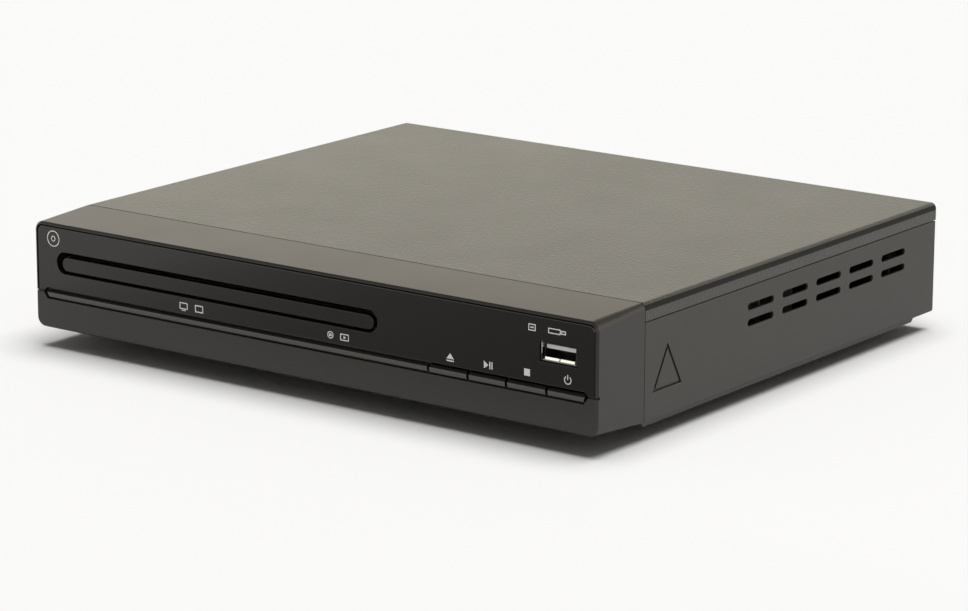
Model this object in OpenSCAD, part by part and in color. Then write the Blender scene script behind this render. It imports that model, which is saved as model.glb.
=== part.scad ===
/* [Case] */
// Width of the player over its side walls
body_w = 225; // [222:0.5:235]
// Depth of the closed player, front plate to rear wall
case_d = 197; // [195:0.5:210]
// Height of the case without its feet
case_h = 37.35; // [37:0.05:42]
// Depth of the front moulding
fascia_d = 24.5; // [24:0.1:25.5]
// Height of the cover's rim
rim_h = 6; // [5:0.1:7]
// Wall of the case, the cover and the front moulding
wall = 2; // [1.8:0.05:2.2]
// Gap between the cover's rim and the case
seam_gap = 0.3; // [0.1:0.05:0.5]
// Height of the groove under the cover's round edges
groove_h = 0.35; // [0.2:0.05:0.6]
// Depth of that groove
groove_d = 0.3; // [0.2:0.05:0.5]
// Width of the groove behind the front moulding, on top
joint_w = 0.5; // [0.2:0.05:0.8]
// Width of that groove on the sides
side_joint_w = 0.25; // [0.1:0.05:0.5]
// Depth of that groove
joint_d = 0.5; // [0.3:0.05:0.8]
// Radius of the cover's long edges
edge_r = 2; // [1:0.1:2.8]
// Radius of the case's bottom edges
bottom_r = 1; // [0.6:0.1:1.4]
// Radius of the front face's corners
face_r = 3.2; // [2.4:0.1:4]
// Chamfer round the front moulding's face
face_edge = 0.6; // [0.3:0.05:0.8]
// Chamfer round the gloss plate
panel_edge = 0.35; // [0.1:0.05:0.5]
// How far the gloss plate stands behind the front moulding's edge
pane_recess = 0.05; // [0:0.01:0.2]
// How far the front moulding's top and bottom slope in towards the front
front_taper = 0.95; // [0.5:0.05:1.2]
// How far the cover's rear flange overhangs the rear wall
cover_overhang = 0.3; // [0.1:0.05:0.6]
// Depth of the keel under the case
keel_h = 1.3; // [0.8:0.05:1.6]
// Inset of the keel from the sides
keel_inset = 1; // [0.5:0.1:3]
// Distance from the rear wall to the keel's end
keel_rear = 11; // [8:0.5:20]
// Height of the case above the table
stand_h = 6; // [4.5:0.1:7]
// Radius of a rubber foot
foot_r = 7; // [5:0.25:9]
// Distance from the sides to the feet's middles
foot_side = 20; // [16:0.5:24]
// Distance from the front plate and from the rear wall to the feet's middles
foot_end = 32; // [28:0.5:40]

/* [Side vents] */
// Vent slots in each row
vent_columns = 5; // [3:1:5]
// Length of a vent slot
vent_l = 15; // [10:0.5:17]
// Height of a vent slot
vent_h = 2.3; // [1.6:0.1:2.8]
// Distance from slot to slot along the case
vent_pitch = 20.2; // [19:0.1:21]
// Distance from row to row
vent_row_pitch = 5.15; // [4.5:0.05:6]
// Wall left round the slots; behind them it is thinner
vent_lip = 0.8; // [0.6:0.05:1.2]
// Height of the lower row's centre line
vent_z = 19.55; // [16:0.05:21]
// Distance from the rear wall to the last slot's middle
vent_rear = 27.1; // [22:0.1:30]

/* [Side mark] */
// Width of the plain triangle on the right side
mark_w = 15.8; // [12:0.1:17]
// Height of the triangle
mark_h = 14.1; // [11:0.1:15]
// Distance from the front plate to the triangle
mark_y = 29; // [28:0.1:32]
// Height of the triangle's base
mark_z = 8.8; // [7:0.1:11]
// Width of the triangle's groove
mark_line = 0.9; // [0.4:0.05:1.1]
// Depth of the triangle's groove
mark_d = 0.6; // [0.2:0.05:0.8]

/* [Front] */
// Width of the front moulding that frames the gloss plate
panel_inset = 1.1; // [0.8:0.05:1.6]
// Gap round the gloss plate
panel_gap = 0.2; // [0.05:0.05:0.3]
// Thickness of the gloss plate
panel_t = 2; // [1.6:0.1:2.2]
// Height of the gloss plate's lower edge
panel_z = 14.5; // [14.2:0.05:15]
// Height of the band channel's pointed ends
band_z = 13.1; // [12.8:0.05:13.3]
// Height of the band channel's lower edge
band_low = 10.7; // [10.2:0.05:10.9]
// Distance from the sides to the band's pointed ends
band_inset = 3.2; // [3:0.1:5]
// Length of the band's pointed ends
band_point = 1.8; // [1:0.1:3]
// Gap between the band's points and the ends of the bar and the last button
band_end_gap = 1.5; // [1:0.1:2]
// Length of those ends' own points
bar_point = 0.7; // [0.4:0.1:1.2]
// Depth of the band channel
band_d = 1.7; // [1.4:0.1:2]
// Lower edge of the trim bar and the buttons
bar_low = 11.3; // [11.2:0.05:11.5]
// Upper edge of the trim bar and the buttons
bar_top = 13.7; // [13.4:0.05:13.8]
// Gaps between the trim bar and the buttons, from the right side of the front
button_gaps = [63.1, 48.1, 33.7, 18.8];
// Width of each of those gaps
button_gap = 0.9; // [0.6:0.05:1.1]
// Travel of a button
button_travel = 0.6; // [0.3:0.05:0.7]

/* [Disc slot and tray] */
// Distance from the left side of the front to the slot
slot_inset = 9.5; // [9:0.1:10]
// Gap between each end of the door and the slot's end
slot_gap = 1.9; // [1.2:0.05:2.4]
// Height of the slot's lower edge
slot_z = 20; // [19.8:0.05:20.3]
// Height of the slot
slot_h = 7.3; // [7.2:0.05:7.6]
// How far the door reaches past each side of the tray
door_lap = 0.6; // [0.4:0.05:1]
// Height of the tray's door
door_h = 4.7; // [4.2:0.05:5]
// Thickness of the tray's door
door_t = 2; // [1.5:0.1:2.4]
// How far the door stands behind the gloss plate's face
door_recess = 0.6; // [0.3:0.05:1]
// Width of the tray
tray_w = 128; // [127:0.1:128.3]
// Length of the tray
tray_l = 169.4; // [167:0.2:171]
// Radius of the 12 cm disc's seat in the tray
disc_seat_r = 60.75; // [60.5:0.05:61.2]
// Radius of the 8 cm disc's seat
small_seat_r = 40.5; // [40.3:0.1:41]
// Travel of the tray
tray_travel = 130; // [120:1:132]
// Half width of the tray's window for the turntable and pickup
window_hw = 22; // [20:0.25:23]

/* [Loader drive] */
// Module of the gears and of the rack
gear_m = 0.8; // [0.78:0.01:0.82]
// Teeth of the pinion that drives the rack
pinion_n = 16; // [16:2:18]
// Teeth of the wheel below that pinion
wheel_n = 30; // [28:2:32]
// Teeth of the pulley's gear
pulley_gear_n = 12; // [12:2:14]
// Radius of the pulley
pulley_r = 10; // [9:0.25:10.5]
// Radius of the motor's pulley
motor_pulley_r = 2.5; // [2:0.1:3]
// Distance from the tray's middle line to the rack's pitch line
rack_x = 46; // [45:0.1:48]
// Distance from the front to the gear axles
gear_y = 37; // [36.6:0.05:37.3]
// Gap in a running fit, on the radius
running_gap = 0.05; // [0.03:0.01:0.08]
// Angle by which the traverse lowers
traverse_drop = 3.4; // [3:0.1:3.5]
// Travel of the cam slider
cam_travel = 20; // [19:0.25:20.5]
// Travel of the pickup
pickup_travel = 34; // [30:0.5:34.5]

/* [Rear] */
// How far the phono jacks stand out behind the rear wall
jack_out = 8; // [7:0.25:9]
// Outer radius of a phono jack's barrel
jack_r = 4.15; // [4:0.05:4.25]
// Distance from the middle to each phono jack
jack_x = [-8, -20, -32, -46];
// Distance from the middle to the multi-pin video socket
scart_x = 35; // [33:0.5:36]
// Distance from the middle to the digital video socket
hdmi_x = -68; // [-74:0.5:-60]
// Distance from the right side to the mains inlet's middle
inlet_inset = 27.5; // [26:0.5:29]

/* [Hidden] */
$fn = 48;

// Whole object
overall_d = case_d + jack_out;
half_w = body_w / 2;
in_x = half_w - wall;
in_y = case_d - wall;
seam_z = case_h - rim_h;
ceiling_z = case_h - wall;
eps = 0.01;

// Slot, door and loader across the front
door_w = tray_w + 2 * door_lap;
slot_w = door_w + 2 * slot_gap;
loader_x = slot_inset + slot_w / 2 - half_w;

// Case fixings
post_x = half_w - 5.7;
post_r = 3.6;
post_front_y = fascia_d + 11.5;
post_rear_y = in_y - 6;
post_split_z = seam_z - 9.35;
screw_r = 1.4;
screw_hole_r = 1.6;
head_r = 2.6;
head_h = 2;
cover_post_r = 3;
vent_rim = 1.5;

// Front moulding
face_z0 = front_taper;
face_z1 = case_h - front_taper;
pane_hw = half_w - panel_inset;
pane_top = face_z1 - panel_inset;
front_wall = panel_t + 2.5;
bar_hw = half_w - band_inset - band_end_gap;
tip_z = band_z - 0.1;
notch = 0.35;
gap_x = [for (g = button_gaps) half_w - g];
button_x0 = [for (g = gap_x) g + button_gap / 2];
button_x1 = [gap_x[1] - button_gap / 2, gap_x[2] - button_gap / 2, gap_x[3] - button_gap / 2, bar_hw];
button_mid = [for (i = [0:3]) (button_x0[i] + button_x1[i]) / 2];
bar_mid_z = (bar_low + bar_top) / 2;
bar_clear = 0.3;
usb_x = half_w - 14.35;
usb_z = 24.65;
usb_w = 13.7;
usb_h = 6.3;
usb_gap = 0.25;
usb_wall = 0.4;

// Front board
board_t = 1.6;
front_board_y = fascia_d - 10.1;
front_board_x1 = half_w - 4.5;
ir_x = (loader_x + slot_w / 2 + usb_x - usb_w / 2) / 2;
ir_z = usb_z;
switch_stem_y = front_board_y - 4.6;
switch_gap = button_travel + 0.2;

// Tray
slot_mid_z = slot_z + slot_h / 2;
door_under = 0.8;
door_z = slot_z + door_under;
tray_z = slot_z + 0.75;
tray_h = 4.7;
tray_y = door_recess + door_t;
seat_z = tray_z + 2.25;
small_seat_z = seat_z - 0.7;
disc_y = tray_y + 66.4;
rail_gap = 0.3;

// Loader
deck_top = tray_z - 4.75;
deck_t = 2;
deck_z = deck_top - deck_t;
side_in = tray_w / 2 + rail_gap;
side_out = side_in + 2;
loader_y0 = fascia_d + 0.3;
loader_y1 = tray_y + tray_l + 4;
traverse_y0 = gear_y + 15;
pickup_y = disc_y + 24;
pickup_back = 17;
traverse_y1 = pickup_y + pickup_back + pickup_travel + 8;
hinge_y = traverse_y1 - 2;
opening_y0 = traverse_y0 - 1.5;
opening_y1 = traverse_y1 + 3;
opening_hw = 40;
ear_x = side_out + 3.7;
ear_r = 3.5;
ear_y = [50, 140];
grommet_h = 2;
bridge_w = 24;
bridge_z = tray_z + tray_h + 4.05;
bridge_t = 1.5;

// Gears
pinion_r = gear_m * pinion_n / 2;
wheel_r = gear_m * wheel_n / 2;
pulley_gear_r = gear_m * pulley_gear_n / 2;
axle_r = 1.5;
pinion_x = rack_x - pinion_r;
pulley_x = pinion_x - wheel_r - pulley_gear_r;
motor_x = pulley_x - 34.8;
rack_pitch = PI * gear_m;
groove_z = tray_z + 1.45;
belt_t = 1;
belt_gap = 0.05;

// Traverse
plate_z = deck_top;
plate_t = 1.5;
plate_hw = 36;
hinge_z = plate_z + 0.7;
rod_x = 29;
rod_z = plate_z - 3;
rod_r = 1.5;
screw_x = 34.2;
screw_z = plate_z - 4.2;
lead_r = 1.6;
shaft_r = 1;
pin_x = 20;
pin_z = plate_z - 4.5;
pin_r = 1.2;
cam_y = opening_y0 - 2.5;
cam_t = 2;
cam_z0 = pin_z - 8.1;
cam_z1 = deck_z - 0.2;
pin_fall = (hinge_y - cam_y) * sin(traverse_drop);

// Boards
board_z = wall + 3;
board_top = board_z + board_t;
cable_w = 8;
cable_t = 0.4;
cable_x0 = loader_x + ear_x + ear_r + 3;
front_board_x0 = min(button_mid[0] - 4, cable_x0 - 1.5);
main_x0 = loader_x - side_out + 2.8;
main_x1 = cable_x0 + 18;
main_y0 = traverse_y1 + 1;
main_y1 = in_y - 1.5;
power_x0 = main_x1 - 8;
power_x1 = in_x - 8.5;
power_y0 = fascia_d + 17.5;
power_y1 = main_y0 - 5;
power_mid = (power_x0 + power_x1) / 2;
inlet_x = half_w - inlet_inset;
header_x = main_x1 - 4.3;
panel_y = in_y - 1;
jack_z = board_top + 7.9;
jack_neck_r = jack_r - 0.25;
jack_bore_r = jack_r - 0.75;
scart_z = board_top + 9.4;
hdmi_z = board_top + 3.1;
inlet_z = wall + 12.5;
wire_z = board_top + 2.4;
mains_wire_z = inlet_z - 2.5;

// ---------- shared forms ----------
module place() translate([0, -overall_d / 2, stand_h]) children();
module loader() place() translate([loader_x, 0, 0]) children();

// A flat outline in X and Z, as a solid from y0 to y1
module along_y(y0, y1) translate([0, y1, 0]) rotate([90, 0, 0]) linear_extrude(y1 - y0) children();

// A flat outline in Y and Z, as a solid from x0 to x1
module along_x(x0, x1) translate([x0, 0, 0]) rotate([90, 0, 90]) linear_extrude(x1 - x0) children();

module block(a, b) translate(a) cube(b - a);

module tube(h, r, bore) difference() {
  cylinder(h = h, r = r);
  translate([0, 0, -1]) cylinder(h = h + 2, r = bore);
}

module mirrored() {
  children();
  mirror([1, 0, 0]) children();
}

// An outline with round ends
module stadium(w, h) {
  square([w - h, h], center = true);
  for (s = [-1, 1]) translate([s * (w - h) / 2, 0]) circle(h / 2);
}

// A rectangle with all its corners round
module rounded(w, h, r) {
  translate([-w / 2 + r, 0]) square([w - 2 * r, h]);
  translate([-w / 2, r]) square([w, h - 2 * r]);
  for (x = [-w / 2 + r, w / 2 - r], y = [r, h - r]) translate([x, y]) circle(r);
}

// A rectangle with its two lower corners round
module round_bottom(w, h, r) {
  translate([-w / 2 + r, 0]) square([w - 2 * r, r + eps]);
  translate([-w / 2, r]) square([w, h - r]);
  for (x = [-w / 2 + r, w / 2 - r]) translate([x, r]) circle(r);
}

// A spur gear outline with a tooth pointing along +X
module gear_outline(m, n, bore) {
  r = m * n / 2;
  half = 180 / n;
  tip = half * 0.2;
  mid = half * 0.44;
  root = half * 0.68;
  points = [for (i = [0:n - 1]) let (a = i * 2 * half) each [
    (r - m * 1.15) * [cos(a - root), sin(a - root)],
    r * [cos(a - mid), sin(a - mid)],
    (r + m * 0.85) * [cos(a - tip), sin(a - tip)],
    (r + m * 0.85) * [cos(a + tip), sin(a + tip)],
    r * [cos(a + mid), sin(a + mid)],
    (r - m * 1.15) * [cos(a + root), sin(a + root)]
  ]];
  difference() {
    polygon(points);
    circle(bore);
  }
}

module pcb(x0, x1, y0, y1) block([x0, y0, board_z], [x1, y1, board_top]);

// ---------- case ----------
module side_vents() {
  first_y = case_d - vent_rear - (vent_columns - 1) * vent_pitch - vent_l / 2;
  last_y = case_d - vent_rear + vent_l / 2;
  mirrored() block([in_x - 1, first_y - vent_rim, vent_z - vent_h / 2 - vent_rim],
                   [half_w - vent_lip, last_y + vent_rim, vent_z + vent_row_pitch + vent_h / 2 + vent_rim]);
  for (c = [0:vent_columns - 1], row = [0, 1], s = [-1, 1])
    translate([0, case_d - vent_rear - c * vent_pitch, vent_z + row * vent_row_pitch])
      along_x(s > 0 ? in_x - 1 : -half_w - 1, s > 0 ? half_w + 1 : -in_x + 1)
        stadium(vent_l, vent_h);
}

module floor_vents() {
  for (i = [0:6])
    translate([power_mid, power_y0 + 22 + i * 9, -keel_h - 1])
      linear_extrude(wall + keel_h + 2) stadium(30, 2.4);
}

module keel() along_x(-half_w + keel_inset, half_w - keel_inset)
  polygon([[fascia_d, 0], [fascia_d + keel_h, -keel_h],
           [case_d - keel_rear - keel_h, -keel_h], [case_d - keel_rear, 0]]);

// The side mark's triangle, `inset` in from its outer edges
module mark_triangle(inset) {
  hw = mark_w / 2;
  slant = sqrt(hw * hw + mark_h * mark_h);
  foot = inset * (slant + hw) / mark_h;
  translate([mark_y + hw, mark_z])
    polygon([[-hw + foot, inset], [hw - foot, inset], [0, mark_h - inset * slant / hw]]);
}

module side_mark() along_x(half_w - mark_d, half_w + 1) difference() {
  mark_triangle(0);
  mark_triangle(mark_line);
}

module case_posts() for (s = [-1, 1], y = [post_front_y, post_rear_y])
  translate([s * post_x, y, 0]) children();

module loader_posts() for (s = [-1, 1], y = ear_y)
  translate([loader_x + s * ear_x, y, 0]) children();

module board_posts() {
  for (p = [[main_x0 + 5, main_y0 + 5], [main_x0 + 5, main_y1 - 6], [main_x1 - 5, main_y0 + 18],
            [main_x1 - 56, main_y0 + 18]]) translate(p) children();
  for (x = [power_x0 + 4, power_x1 - 4], y = [power_y0 + 4, power_y1 - 14]) translate([x, y]) children();
}

// Groove on the sides, in the joint with the front moulding
module side_joint() mirrored()
  block([half_w - joint_d, fascia_d - 1, -1], [half_w + 1, fascia_d + side_joint_w, case_h + 1]);

module lower_case() color("#4f4c4a") place() difference() {
  union() {
    difference() {
      along_y(fascia_d, case_d) round_bottom(body_w, seam_z, bottom_r);
      block([-in_x, fascia_d - 1, wall], [in_x, in_y, seam_z + 1]);
    }
    keel();
    case_posts() cylinder(h = post_split_z, r = post_r);
    loader_posts() cylinder(h = deck_z - grommet_h, r = 3.2);
    board_posts() cylinder(h = board_z, r = 3);
  }
  side_vents();
  floor_vents();
  side_mark();
  side_joint();
  case_posts() translate([0, 0, -keel_h - 1]) {
    cylinder(h = post_split_z + 9, r = screw_hole_r);
    cylinder(h = keel_h + 1 + 1.6, r = head_r + 0.2);
  }
  loader_posts() translate([0, 0, wall + 2]) cylinder(h = deck_z, r = 1.55);
  board_posts() translate([0, 0, wall]) cylinder(h = board_z, r = 1.25);
  block([-half_w + 22.5, in_y - 1, 5], [half_w - 12.5, case_d + 1, seam_z - 2.85]);
}

module top_cover() color("#8c8a80") place() difference() {
  union() {
    difference() {
      translate([0, 0, case_h]) mirror([0, 0, 1])
        along_y(fascia_d, case_d + cover_overhang) round_bottom(body_w, rim_h - seam_gap, edge_r);
      block([-in_x, fascia_d - 1, seam_z - 1], [in_x, in_y, ceiling_z]);
    }
    mirrored() block([in_x - 1.4, fascia_d + 4, seam_z - 2], [in_x - 0.1, in_y - 4, ceiling_z + eps]);
    case_posts() translate([0, 0, post_split_z])
      cylinder(h = ceiling_z - post_split_z + eps, r = cover_post_r);
  }
  case_posts() translate([0, 0, post_split_z - 1]) cylinder(h = 11, r = screw_r + running_gap);
  side_joint();
  block([-half_w - 1, fascia_d - 1, case_h - joint_d], [half_w + 1, fascia_d + joint_w, case_h + 1]);
  mirrored() block([half_w - groove_d, fascia_d - 1, case_h - edge_r - groove_h],
                   [half_w + 1, case_d + cover_overhang + 1, case_h - edge_r]);
}

module rubber_feet() color("#1c1b1b") place()
  for (s = [-1, 1], y = [foot_end, case_d - foot_end]) translate([s * (half_w - foot_side), y, -stand_h]) {
    cylinder(h = 1, r1 = foot_r - 0.6, r2 = foot_r);
    translate([0, 0, 1]) cylinder(h = stand_h - keel_h - 1, r = foot_r);
  }

module case_screws() color("#2a2a2c") place() case_posts() difference() {
  union() {
    translate([0, 0, 1.6 - head_h]) cylinder(h = head_h, r = head_r);
    translate([0, 0, 1.6 - eps]) cylinder(h = post_split_z + 6, r = screw_r);
  }
  cross_slot(1.6 - head_h);
}

module cross_slot(z) for (a = [0, 90]) rotate(a) translate([-1.5, -0.3, z - 1]) cube([3, 0.6, 2]);

// ---------- front ----------
// A thin slice of the front moulding's outside, by the circles in its corners
module face_slab(y, z0, z1, low_r, top_r, inset = 0) along_y(y, y + eps) for (s = [-1, 1]) {
  translate([s * (half_w - low_r), z0 + low_r]) circle(low_r - inset);
  translate([s * (half_w - top_r), z1 - top_r]) circle(top_r - inset);
}

module band_outline(grow) {
  hw = half_w - band_inset + grow;
  p = band_point;
  polygon([[-hw, band_z], [-hw + p, panel_z + grow], [hw - p, panel_z + grow], [hw, band_z],
           [hw - p, band_low - grow], [-hw + p, band_low - grow]]);
}

// The gloss plate's outline: round top corners, and a lower edge that follows the band
module pane_outline(shrink) difference() {
  pane_blank(shrink);
  band_outline(shrink);
}

module pane_blank(shrink) {
  translate([-pane_hw + shrink, band_z + 0.4]) square([2 * (pane_hw - shrink), pane_top - band_z - 3]);
  translate([0, pane_top - 8]) rounded(2 * (pane_hw - shrink), 8 - shrink, 2.2);
}

module slot_outline() translate([loader_x, slot_mid_z]) stadium(slot_w, slot_h);

module usb_outline(grow) translate([usb_x - usb_w / 2 - grow, usb_z - usb_h / 2 - grow])
  square([usb_w + 2 * grow, usb_h + 2 * grow]);

module bar_outline(x0, x1, grow, left_tip, right_tip) {
  tip = bar_point;
  polygon([
    [x0 - grow, left_tip ? tip_z : bar_low - grow],
    if (left_tip) [x0 + tip, bar_low - grow],
    [right_tip ? x1 - tip : x1 + grow, bar_low - grow],
    if (right_tip) [x1 + grow, tip_z],
    [right_tip ? x1 - tip : x1 + grow, bar_top + grow],
    [left_tip ? x0 + tip : x0 - grow, bar_top + grow]
  ]);
}

// Section of the bar and the buttons: a lower facet, a ridge and an upper bevel
module bar_section(y1) polygon([[0.45, bar_low], [0.15, bar_top - 1.2], [0.33, bar_top - 0.75],
                                [1.05, bar_top], [y1, bar_top], [y1, bar_low]]);

module bar_solid(x0, x1, y1, left_tip, right_tip) intersection() {
  along_y(-1, y1 + 1) bar_outline(x0, x1, 0, left_tip, right_tip);
  along_x(x0 - 1, x1 + 1) bar_section(y1);
}

board_peg = [[front_board_x0 + 5.9, 27.5], [gap_x[2] + 5.3, 27.5], [front_board_x1 - 4, 6.8]];

module fascia() color("#3d3a38") place() difference() {
  union() {
    difference() {
      hull() {
        face_slab(0, face_z0, face_z1, face_r, face_r, face_edge);
        face_slab(face_edge, face_z0, face_z1, face_r, face_r);
        face_slab(fascia_d - eps, 0, case_h, bottom_r, edge_r);
      }
      block([-in_x, front_wall, wall + 0.4], [in_x, fascia_d + 1, ceiling_z - 0.9]);
    }
    for (p = board_peg) translate([p[0], front_board_y, p[1]]) rotate([90, 0, 0])
      cylinder(h = front_board_y - front_wall + eps, r = 2.2);
    for (s = [-1, 1])
      block([s > 0 ? in_x - 1.8 : -in_x + 0.2, 14, 24], [s > 0 ? in_x - 0.2 : -in_x + 1.8, 31, 27.5]);
    for (s = [-1, 1])
      block([s > 0 ? in_x - 1.8 : -in_x - eps, 14, 24], [s > 0 ? in_x + eps : -in_x + 1.8, 20, 27.5]);
  }
  along_y(-1, panel_t) pane_outline(-panel_gap);
  along_y(-1, band_d) band_outline(0);
  for (s = [-1, 1]) translate([s * half_w, 0, band_z]) rotate([0, 45, 0])
    block([-notch, -1, -notch], [notch, 1.2, notch]);
  mirrored() block([half_w - band_inset - 0.3, -1, band_z - 0.25], [half_w + 1, 2 * notch, band_z + 0.25]);
  along_y(-1, fascia_d + 1) slot_outline();
  along_y(-1, fascia_d + 1) usb_outline(0);
  for (i = [0:3]) along_y(0, front_wall + 1)
    bar_outline(button_x0[i], button_x1[i], bar_clear, false, i == 3);
  translate([ir_x, 0, ir_z]) rotate([-90, 0, 0]) cylinder(h = 6, r = 2.6);
  for (p = board_peg) translate([p[0], front_board_y + 1, p[1]]) rotate([90, 0, 0]) cylinder(h = 8, r = 0.9);
}

module front_panel() color("#26231f") place() difference() {
  hull() {
    along_y(pane_recess, pane_recess + eps) pane_blank(panel_edge);
    along_y(pane_recess + panel_edge, panel_t) pane_blank(0);
  }
  along_y(-1, panel_t + 1) {
    band_outline(0);
    slot_outline();
    usb_outline(0);
  }
}

module trim_bar() color("#5a5755") place()
  bar_solid(-bar_hw, gap_x[0] - button_gap / 2, band_d, true, false);

module button(i) {
  foot = front_wall + 0.4;
  bar_solid(button_x0[i], button_x1[i], foot + eps, false, i == 3);
  block([button_x0[i] + 0.6, foot, bar_low - 0.9],
        [button_x1[i] - (i == 3 ? bar_point + 0.3 : 0.6), foot + 1, bar_top + 0.9]);
  translate([button_mid[i], foot + 1 - eps, bar_mid_z]) rotate([-90, 0, 0])
    cylinder(h = switch_stem_y - switch_gap - foot - 1 + eps, r = 1.5);
}

module button_eject() color("#5a5755") place() button(0);
module button_play() color("#5a5755") place() button(1);
module button_stop() color("#5a5755") place() button(2);
module button_power() color("#5a5755") place() button(3);

module front_board() color("#2f5d3a") place() difference() {
  union() {
    block([front_board_x0, front_board_y, wall + 1], [front_board_x1, front_board_y + board_t, seam_z - 0.5]);
    block([cable_x0 - 1, front_board_y + board_t - eps, 5],
          [cable_x0 + cable_w + 1, front_board_y + board_t + 3, 9]);
  }
  for (p = board_peg) translate([p[0], front_board_y + 3, p[1]]) rotate([90, 0, 0]) cylinder(h = 5, r = 1.1);
}

module tact_switches() color("#b9b7b0") place() for (i = [0:3]) {
  translate([button_mid[i], 0, bar_mid_z]) {
    block([-3, front_board_y - 3.5, -3], [3, front_board_y, 3]);
    translate([0, switch_stem_y, 0]) rotate([-90, 0, 0]) cylinder(h = 1.1 + eps, r = 1.7);
  }
}

module ir_receiver() color("#1d1a1e") place() translate([ir_x, 0, ir_z]) {
  block([-3.2, front_board_y - 3.5, -3.4], [3.2, front_board_y, 3.4]);
  translate([0, front_board_y - 3.5 + eps, 0]) rotate([90, 0, 0]) cylinder(h = 2.5, r = 2.4);
}

module usb_socket() color("#c9c9c6") place() difference() {
  along_y(0.6, front_board_y) usb_outline(-usb_gap);
  along_y(0, front_board_y - 1.5) usb_outline(-usb_gap - usb_wall);
  translate([usb_x, front_board_y - 4, usb_z - usb_h]) cylinder(h = usb_h, r = 0.8);
}

module usb_tongue() color("#161616") place()
  block([usb_x - 5.5, 1.8, usb_z + 0.75], [usb_x + 5.5, front_board_y - 1.5, usb_z + 2]);

// ---------- loader ----------
module disc_tray() color("#2e2d2d") loader() difference() {
  translate([0, tray_y, tray_z]) linear_extrude(tray_h) {
    translate([-tray_w / 2, 0]) square([tray_w, tray_l - 6]);
    translate([-tray_w / 2 + 6, tray_l - 7]) square([tray_w - 12, 7]);
    for (s = [-1, 1]) translate([s * (tray_w / 2 - 6), tray_l - 6]) circle(6);
  }
  translate([0, disc_y, seat_z]) cylinder(h = tray_h, r = disc_seat_r);
  translate([0, disc_y, small_seat_z]) cylinder(h = tray_h, r = small_seat_r);
  block([-window_hw, disc_y, tray_z - 1], [window_hw, tray_y + tray_l + 1, tray_z + tray_h + 1]);
  translate([0, disc_y, tray_z - 1]) cylinder(h = tray_h + 2, r = window_hw);
  // Thinner behind the disc seat, between the side rails
  block([-tray_w / 2 + 5, disc_y + disc_seat_r - 6, seat_z],
        [tray_w / 2 - 5, tray_y + tray_l + 1, tray_z + tray_h + 1]);
  rack_groove();
}

// Groove under the tray: the pinion runs in it, and its outer side is the rack
module rack_groove() {
  x0 = pinion_x - pinion_r - 1.6;
  y0 = gear_y - 8;
  block([x0, y0 - 5, tray_z - 1], [rack_x - gear_m * 0.9, tray_y + tray_l + 1, groove_z]);
  count = ceil((tray_travel + 20) / rack_pitch) + 2;
  translate([0, 0, tray_z - 1]) linear_extrude(groove_z - tray_z + 1)
    for (i = [-3:count - 4]) translate([rack_x, gear_y + i * rack_pitch])
      polygon([[-gear_m * 0.95, -rack_pitch * 0.40], [0, -rack_pitch * 0.28],
               [gear_m * 1.1, -rack_pitch * 0.15], [gear_m * 1.1, rack_pitch * 0.15],
               [0, rack_pitch * 0.28], [-gear_m * 0.95, rack_pitch * 0.40]]);
}

module tray_door() color("#353230") loader() translate([0, 0, door_z + door_h / 2])
  along_y(door_recess, tray_y) stadium(door_w, door_h);

module loader_frame() color("#d8d6cf") loader() difference() {
  union() {
    // Deck with the window for the traverse
    difference() {
      block([-side_out, loader_y0, deck_z], [side_out, loader_y1, deck_top]);
      block([-opening_hw, opening_y0, deck_z - 1], [opening_hw, opening_y1, deck_top + 1]);
    }
    mirrored() {
      block([side_in, loader_y0, deck_z], [side_out, loader_y1, tray_z + tray_h + 2]);
      block([side_in - 4.8, loader_y0, deck_top + 2.4], [side_in + eps, loader_y1, tray_z - 0.2]);
      for (y = [loader_y0 + 5, disc_y + 31, loader_y1 - 11])
        block([side_in - 2.5, y, tray_z + tray_h + rail_gap], [side_in + eps, y + 6, tray_z + tray_h + 2]);
      block([side_in, disc_y - bridge_w / 2, deck_z], [side_out, disc_y + bridge_w / 2, bridge_z]);
      // Bearings of the traverse
      block([opening_hw + 0.3, hinge_y - 5, deck_z], [opening_hw + 4, hinge_y + 5, tray_z - 0.5]);
      for (y = ear_y) {
        translate([ear_x, y, deck_z]) cylinder(h = deck_t, r = ear_r);
        block([side_out - eps, y - ear_r, deck_z], [ear_x, y + ear_r, deck_top]);
      }
    }
    // Guide wall and foot of the cam slider
    block([-45, cam_y - cam_t / 2 - 1.7, cam_z0 - 1], [46, cam_y - cam_t / 2 - 0.5, deck_z + eps]);
    block([-45, cam_y - cam_t / 2 - 0.5 - eps, cam_z0 - 1], [46, cam_y + cam_t / 2, cam_z0 - 0.2]);
    // Axles
    translate([pinion_x, gear_y, deck_top - eps]) cylinder(h = groove_z - deck_top - 0.4, r = axle_r);
    translate([pulley_x, gear_y, deck_top - eps]) cylinder(h = tray_z - deck_top - 0.6, r = axle_r);
  }
  mirrored() for (y = ear_y) translate([ear_x, y, deck_z - 1]) cylinder(h = deck_t + 2, r = 1.8);
  mirrored() translate([opening_hw, hinge_y, hinge_z]) rotate([0, 90, 0])
    cylinder(h = 6, r = rod_r + running_gap);
  translate([motor_x, gear_y, deck_z - 1]) cylinder(h = deck_t + 2, r = 2);
}

module grommets() color("#2b2b2e") place() loader_posts()
  translate([0, 0, deck_z - grommet_h]) tube(grommet_h, 3.6, 1.8);

module loader_screws() color("#8f8f92") place() loader_posts() difference() {
  union() {
    translate([0, 0, deck_top]) cylinder(h = 1.8, r = 3);
    translate([0, 0, wall + 3]) cylinder(h = deck_top - wall - 3 + eps, r = 1.5);
  }
  cross_slot(deck_top + 1.8);
}

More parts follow.
